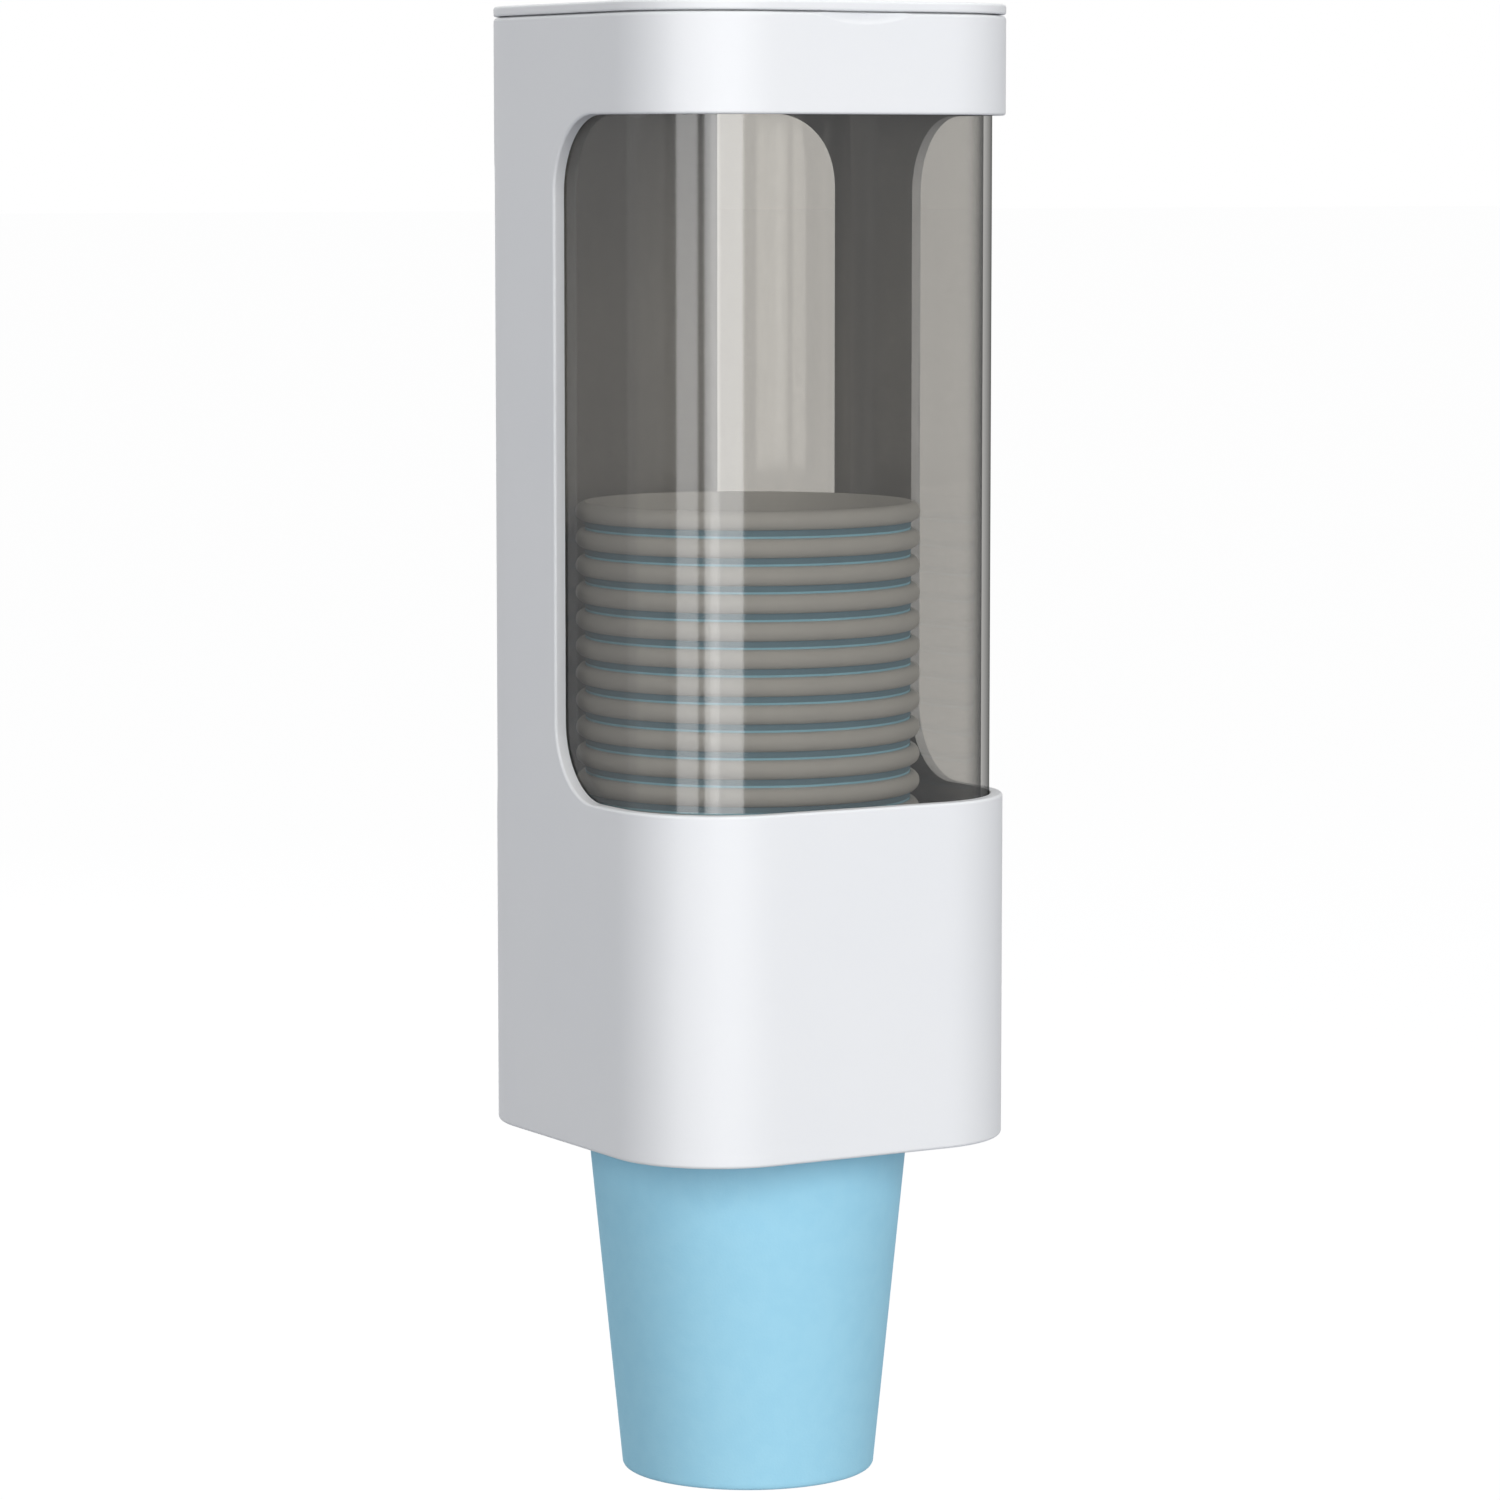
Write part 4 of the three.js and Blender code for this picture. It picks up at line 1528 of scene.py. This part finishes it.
    def _build_screws(self) -> None:
        """Makes the four screws and puts them in the frame."""
        layout, shop = self.layout, self.workshop
        low = layout.datum.span("ring_screw_1")[0].z
        screws = Copies(
            "ring_screws", Pattern.GRID, self._screw(), Slot.STEEL,
            {
                "Width": 2 * layout.boss_x, "Depth": 2 * layout.boss_y, "Columns": 2, "Rows": 2,
                "Most Turn": math.pi,
            },
            start=(0, 0, low),
        ).build(shop)
        shop.shade(screws, self.screw_sharp)
        names = [f"ring_screw_{number}" for number, _ in enumerate(layout.boss_places, 1)]
        shop.deliver(screws, "clamp_screws", Body.DISPENSER, Slot.STEEL, *names)

    def build(self) -> None:
        """Makes the gasket, the clamp ring and the screws."""
        self._build_gasket()
        self._build_clamp()
        self._build_screws()


@dataclass
class WallBracket(Maker):
    """The bracket that stays on the wall."""

    bevel: float = 2
    corner_radius: float = 3
    corner_steps: int = 8
    softness: float = 0.3
    hole_radius: float = 2.2
    head_radius: float = 4.2
    head_depth: float = 2.4
    hole_inset: float = 7.5
    hole_steps: int = 48
    notch_low: float = 43.7
    notch_height: float = 8.6

    def build(self) -> None:
        """Makes the bracket and puts it in the frame."""
        shop = self.workshop
        low, high = self.layout.datum.span("wall_bracket")
        front, back = low.y, high.y
        section = [(low.x, front), (high.x, front), (high.x - self.bevel, back), (low.x + self.bevel, back)]
        bracket = shop.solid(Surface.prism(section, low.z, high.z))
        middle_z, before, behind = (low.z + high.z) / 2, front - OVERRUN, back + OVERRUN
        face = Plan(high.x, (high.z - low.z) / 2, self.corner_radius, self.corner_steps).outline(0)
        blank = Surface.loft([[(x, y, middle_z + z) for x, z in face] for y in (before, behind)])
        shop.change(bracket, blank, Cut.KEEP_SHARED)
        inner = high.x - self.bevel
        for side in SIDES:
            near, far = sorted((side * inner, side * (high.x + OVERRUN)))
            notch_high = self.notch_low + self.notch_height
            notch = Surface.box((near, before, self.notch_low), (far, behind, notch_high))
            shop.change(bracket, notch, Cut.CUT)
        shop.soften(bracket, self.softness, segments=3)
        sink = Surface.sunk_hole(
            self.head_radius, self.hole_radius, self.head_depth, (0, back - front), self.hole_steps
        ).through(Matrix.Rotation(-math.pi / 2, 4, "X"))
        holes = [sink.moved(0, front, z) for z in (low.z + self.hole_inset, high.z - self.hole_inset)]
        shop.change(bracket, Surface.gathered(holes), Cut.CUT)
        shop.shade(bracket)
        shop.deliver(bracket, "wall_plate", Body.BRACKET, Slot.BRACKET, "wall_bracket")


@dataclass
class PaperCups(Maker):
    """The lowest cup, which hangs out of the housing, and the stack above it."""

    count: int = 23
    height: float = 81.2
    foot_radius: float = 26.9
    mouth_radius: float = 35
    rim_radius: float = 36.5
    rim_height: float = 4
    wall: float = 0.3
    floor_rise: float = 4.73
    floor_thickness: float = 0.4
    foot_rounding: float = 0.7
    seam_width: float = 6
    seam_step: float = 0.22
    painted_shade_band: float = 1.3
    floor_rounding: float = 0.8
    floor_edge: float = 0.5
    foot_wall: float = 0.4
    foot_steps: int = 4
    inside_start: float = 4
    neck_drop: float = 2
    lip_drop: float = 1.4
    bead_steps: int = 14
    outside_shares: tuple[float, float] = (0.6, 0.3)
    sharp: float = 50
    lowest_steps: int = 160
    lowest_turn: float = 20
    stack_steps: int = 96

    def _wall_at(self, z: float) -> float:
        """The outer wall's radius at a height above the foot."""
        return self.foot_radius + (self.mouth_radius - self.foot_radius) * z / self.height

    def _profile(self) -> list[Flat]:
        """The cup's section, from the floor's top out over the rim and down to the foot.

        Returns:
            Its [radius, z] pairs.
        """
        rim_low = self.height - self.rim_height
        inner = self._wall_at(rim_low)
        wide, half = self.rim_radius - inner, self.rim_height / 2
        floor_top, soft = self.floor_rise + self.floor_thickness, self.floor_rounding
        profile = [(0, floor_top), (self._wall_at(floor_top) - self.wall - soft, floor_top)]
        profile.append((self._wall_at(floor_top) - self.wall, floor_top + soft))
        inside = [floor_top + self.inside_start, self.height / 2]
        inside += [rim_low - self.neck_drop, self.height - self.lip_drop]
        profile += [(self._wall_at(z) - self.wall, z) for z in inside]
        bead = [math.pi * (0.5 - step / self.bead_steps) for step in range(self.bead_steps + 1)]
        centre = rim_low + half
        profile += [(inner + wide * math.cos(a), centre + half * math.sin(a)) for a in bead]
        # The first level is the lower edge of the painted shade band under the rim.
        levels = [rim_low - self.painted_shade_band, *(self.height * share for share in self.outside_shares)]
        levels += [self.foot_rounding * 2, self.foot_rounding]
        profile += [(self._wall_at(z), z) for z in levels]
        foot = quarter_round(self.foot_rounding, self.foot_steps)[1:]
        profile += [(self.foot_radius - inset, self.foot_rounding - rise) for inset, rise in foot]
        under = self.floor_rise
        profile.append((self.foot_radius - self.foot_rounding - self.foot_wall, 0))
        profile += [(self._wall_at(under) - self.wall - self.floor_edge, under), (0, under)]
        return profile

    def _seam(self, radius: float, z: float, angle: float) -> float:
        """The step outside the paper where its two edges overlap and are glued."""
        outside = radius > self._wall_at(z) - self.wall / 2 and z < self.height - self.rim_height
        return self.seam_step if outside and angle < self.seam_width / self.foot_radius else 0.0

    def _cup(self, steps: int) -> Thing:
        """One cup with its foot at z = 0, its printed faces and its painted shade band under the rim marked.

        Args:
            steps: How many steps one turn has.

        Returns:
            The cup.
        """
        cup = self.workshop.solid(Surface.turned(self._profile(), steps, self._seam), "cup")
        printed = cup.data.attributes.new(PRINTED, "FLOAT", "FACE")
        painted_rim_shade = cup.data.attributes.new(PAINTED_RIM_SHADE, "FLOAT", "FACE")
        rim_low = self.height - self.rim_height
        for face in cup.data.polygons:
            middle = face.center
            depth = self._wall_at(middle.z) - math.hypot(middle.x, middle.y)
            outside = depth < self.wall / 2 + self.foot_rounding * (middle.z < self.foot_rounding)
            printed.data[face.index].value = float(outside and middle.z < rim_low)
            # Marks the painted shade band: a strip of the outside just under the rim, painted dark where the
            # rim shades it.
            painted_rim_shade.data[face.index].value = float(outside and rim_low - self.painted_shade_band < middle.z < rim_low)
        cup.data.shade_smooth()
        cup.data.set_sharp_from_angle(angle=math.radians(self.sharp))
        return cup

    def _build_lowest(self) -> None:
        """Makes the lowest cup and puts it in the frame."""
        foot = self.layout.datum.span("cup_01")[0].z
        cup = self._cup(self.lowest_steps)
        turn = Matrix.Translation((0, 0, foot)) @ Matrix.Rotation(math.radians(self.lowest_turn), 4, "Z")
        cup.data.transform(turn)
        self.workshop.deliver(cup, "lowest_cup", Body.PULLED_CUP, Slot.PAPER, "cup_01")

    def _build_stack(self) -> None:
        """Makes the stack above the lowest cup and puts it in the frame."""
        span = self.layout.datum.span
        pitch = span("cup_02")[0].z - span("cup_01")[0].z
        names = [f"cup_{number:02d}" for number in range(2, self.count + 1)]
        stack = Copies(
            "nested_cups", Pattern.LINE, self._cup(self.stack_steps), Slot.PAPER,
            {"Count": len(names), "Most Turn": 2 * math.pi},
            start=(0, 0, span("cup_02")[0].z), step=(0, 0, pitch),
        ).build(self.workshop)
        self.workshop.deliver(stack, "cup_stack", Body.CUP_STACK, Slot.PAPER, *names)

    def build(self) -> None:
        """Makes the lowest cup and the stack."""
        self._build_lowest()
        self._build_stack()


@dataclass(frozen=True)
class Lamp:
    """A soft rectangular lamp, placed by its bearing from the dispenser and never seen itself."""

    name: str
    ray: Ray
    radiance: float
    bearing: float
    rise: float
    distance: float
    width: float
    tall: float

    def build(self, middle: Vector) -> None:
        """Makes the lamp, turned to a point.

        Args:
            middle: The point that it faces.
        """
        light = bpy.data.lights.new(self.name, "AREA")
        light.shape = "RECTANGLE"
        light.size, light.size_y = self.width, self.tall
        light.energy = self.radiance * math.pi * self.width * self.tall
        lamp = bpy.data.objects.new(self.name, light)
        angle, rise = math.radians(self.bearing), math.radians(self.rise)
        level = math.cos(rise)
        away = Vector((-math.sin(angle) * level, -math.cos(angle) * level, math.sin(rise)))
        lamp.location = middle + away * self.distance
        lamp.rotation_euler = (-away).to_track_quat("-Z", "Y").to_euler()
        lamp.visible_camera = False
        lamp.visible_diffuse = self.ray is Ray.DIFFUSE
        lamp.visible_glossy = self.ray is Ray.GLOSS
        bpy.context.scene.collection.objects.link(lamp)


@dataclass
class Studio:
    """Camera, lamps, surroundings and floor."""

    layout: Layout
    heading: float = 30.39
    camera_distance: float = 1.1817
    camera_rise: float = 0.20563
    camera_aside: float = 0.00045
    pitch: float = 6.04
    lens: float = 134.1
    sensor: float = 36
    sight: float = 100
    ambient: float = 0.23
    ambient_tint: Colour = (0.985, 0.99, 1.0)
    mirrored_share: float = 0.4
    floor_drop: float = 0.15
    floor_reach: float = 40.0
    floor_colour: Colour = (0.34, 0.35, 0.38)
    floor_glow: float = 1.11
    floor_glow_share: float = 0.88

    def build_camera(self) -> None:
        """Puts the camera where the photograph was taken from."""
        data = bpy.data.cameras.new("photo_camera")
        data.sensor_width = self.sensor
        data.lens = self.lens
        data.clip_end = self.sight
        camera = bpy.data.objects.new("photo_camera", data)
        turn = math.radians(self.heading)
        ahead = Vector((math.sin(turn), math.cos(turn), 0))
        aside = Vector((math.cos(turn), -math.sin(turn), 0))
        middle = self.layout.datum.matrix() @ Vector((0, 0, 0))
        camera.location = middle - ahead * self.camera_distance + aside * self.camera_aside
        camera.location.z = middle.z + self.camera_rise
        camera.rotation_euler = (math.radians(90 - self.pitch), 0, -turn)
        scene = bpy.context.scene
        scene.collection.objects.link(camera)
        scene.camera = camera
        scene.view_settings.view_transform = "Standard"

    def build_lamps(self) -> None:
        """Sets up two keys and two fills that light the plastic, and four glows that only a gloss mirrors."""
        middle = self.layout.datum.matrix() @ Vector((0, 0, self.layout.top / 2))
        lamps = (
            Lamp("right_key", Ray.DIFFUSE, 5.72, bearing=-12, rise=14, distance=2.4, width=1.2, tall=1.4),
            Lamp("left_key", Ray.DIFFUSE, 4.02, bearing=56, rise=14, distance=2.4, width=1.2, tall=1.4),
            Lamp("rear_fill", Ray.DIFFUSE, 3.6, bearing=180, rise=18, distance=2.0, width=0.8, tall=1.4),
            Lamp("top_fill", Ray.DIFFUSE, 2.6, bearing=0, rise=88, distance=1.6, width=1.2, tall=1.2),
            Lamp("front_glow", Ray.GLOSS, 2.8, bearing=22, rise=0, distance=1.0, width=0.76, tall=1.4),
            Lamp("narrow_strip", Ray.GLOSS, 1.3, bearing=32, rise=0, distance=0.9, width=0.15, tall=1.4),
            Lamp("side_strip", Ray.GLOSS, 2.35, bearing=62, rise=0, distance=1.0, width=0.42, tall=1.4),
            Lamp("left_veil", Ray.GLOSS, 0.15, bearing=118, rise=0, distance=1.4, width=1.6, tall=1.4),
        )
        for lamp in lamps:
            lamp.build(middle)

    def _white_where_seen(self, web: NodeWeb) -> Socket:
        """Adds a share: one to the camera and through glass, less in a gloss, nought for plain light.

        Args:
            web: The nodes of the world or the floor.

        Returns:
            The share.
        """
        path = web.add("ShaderNodeLightPath").outputs
        mirrored = web.maths("MULTIPLY", path["Is Glossy Ray"], self.mirrored_share)
        seen = web.maths("MAXIMUM", path["Is Camera Ray"], mirrored)
        return web.maths("MAXIMUM", seen, path["Is Transmission Ray"])

    def build_world(self) -> None:
        """Gives an even light, and white where the background shows."""
        world = bpy.data.worlds.new("studio")
        world.use_nodes = True
        world.node_tree.nodes.clear()
        web = NodeWeb(world.node_tree)
        light = web.add("ShaderNodeBackground", Color=opaque(self.ambient_tint), Strength=self.ambient)
        white = web.add("ShaderNodeBackground", Color=opaque((1, 1, 1)), Strength=1.0)
        seen = web.either(self._white_where_seen(web), light, white)
        web.add("ShaderNodeOutputWorld", Surface=seen.outputs[0])
        bpy.context.scene.world = world

    def build_floor(self) -> None:
        """Lays a pale floor that looks white, keeps the dispenser's shadow and is clear from below."""
        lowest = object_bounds()[0].z
        reach = self.floor_reach
        mesh = bpy.data.meshes.new("floor")
        mesh.from_pydata([(x * reach, y * reach, 0) for x, y in CORNERS], [], [[0, 1, 2, 3]])
        floor = bpy.data.objects.new("floor", mesh)
        floor.location.z = lowest - self.floor_drop
        bpy.context.scene.collection.objects.link(floor)
        web = MaterialWeb("pale_floor")
        plain = web.add("ShaderNodeBsdfDiffuse", Color=opaque(self.floor_colour))
        glow = web.add("ShaderNodeEmission", Color=opaque((1, 1, 1)), Strength=self.floor_glow)
        share = web.maths("MULTIPLY", self._white_where_seen(web), self.floor_glow_share)
        below = web.add("ShaderNodeNewGeometry").outputs["Backfacing"]
        clear = web.add("ShaderNodeBsdfTransparent")
        mesh.materials.append(web.finished(web.either(below, web.either(share, plain, glow), clear)))
        floor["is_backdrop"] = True


def main() -> None:
    """Loads the frame and builds the dispenser round it, piece by piece."""
    logging.basicConfig(level=logging.INFO, format="%(name)s: %(message)s")
    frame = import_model()
    layout = Layout(Datum.from_frame())
    studio = Studio(layout)
    studio.build_camera()
    workshop = Workshop(layout.datum, every_finish())
    cup_nodes = [name for name in frame["nodes"] if name.startswith("cup_") and name != "cup_gasket"]
    for maker in (WallBracket, Housing, Sleeve, Lid, CupGrip):
        maker(layout, workshop).build()
    PaperCups(layout, workshop, len(cup_nodes)).build()

    studio.build_lamps()
    studio.build_world()
    studio.build_floor()
    LOG.info("%d pieces: %s", len(workshop.made), ", ".join(workshop.made))


if __name__ == "__main__":
    main()
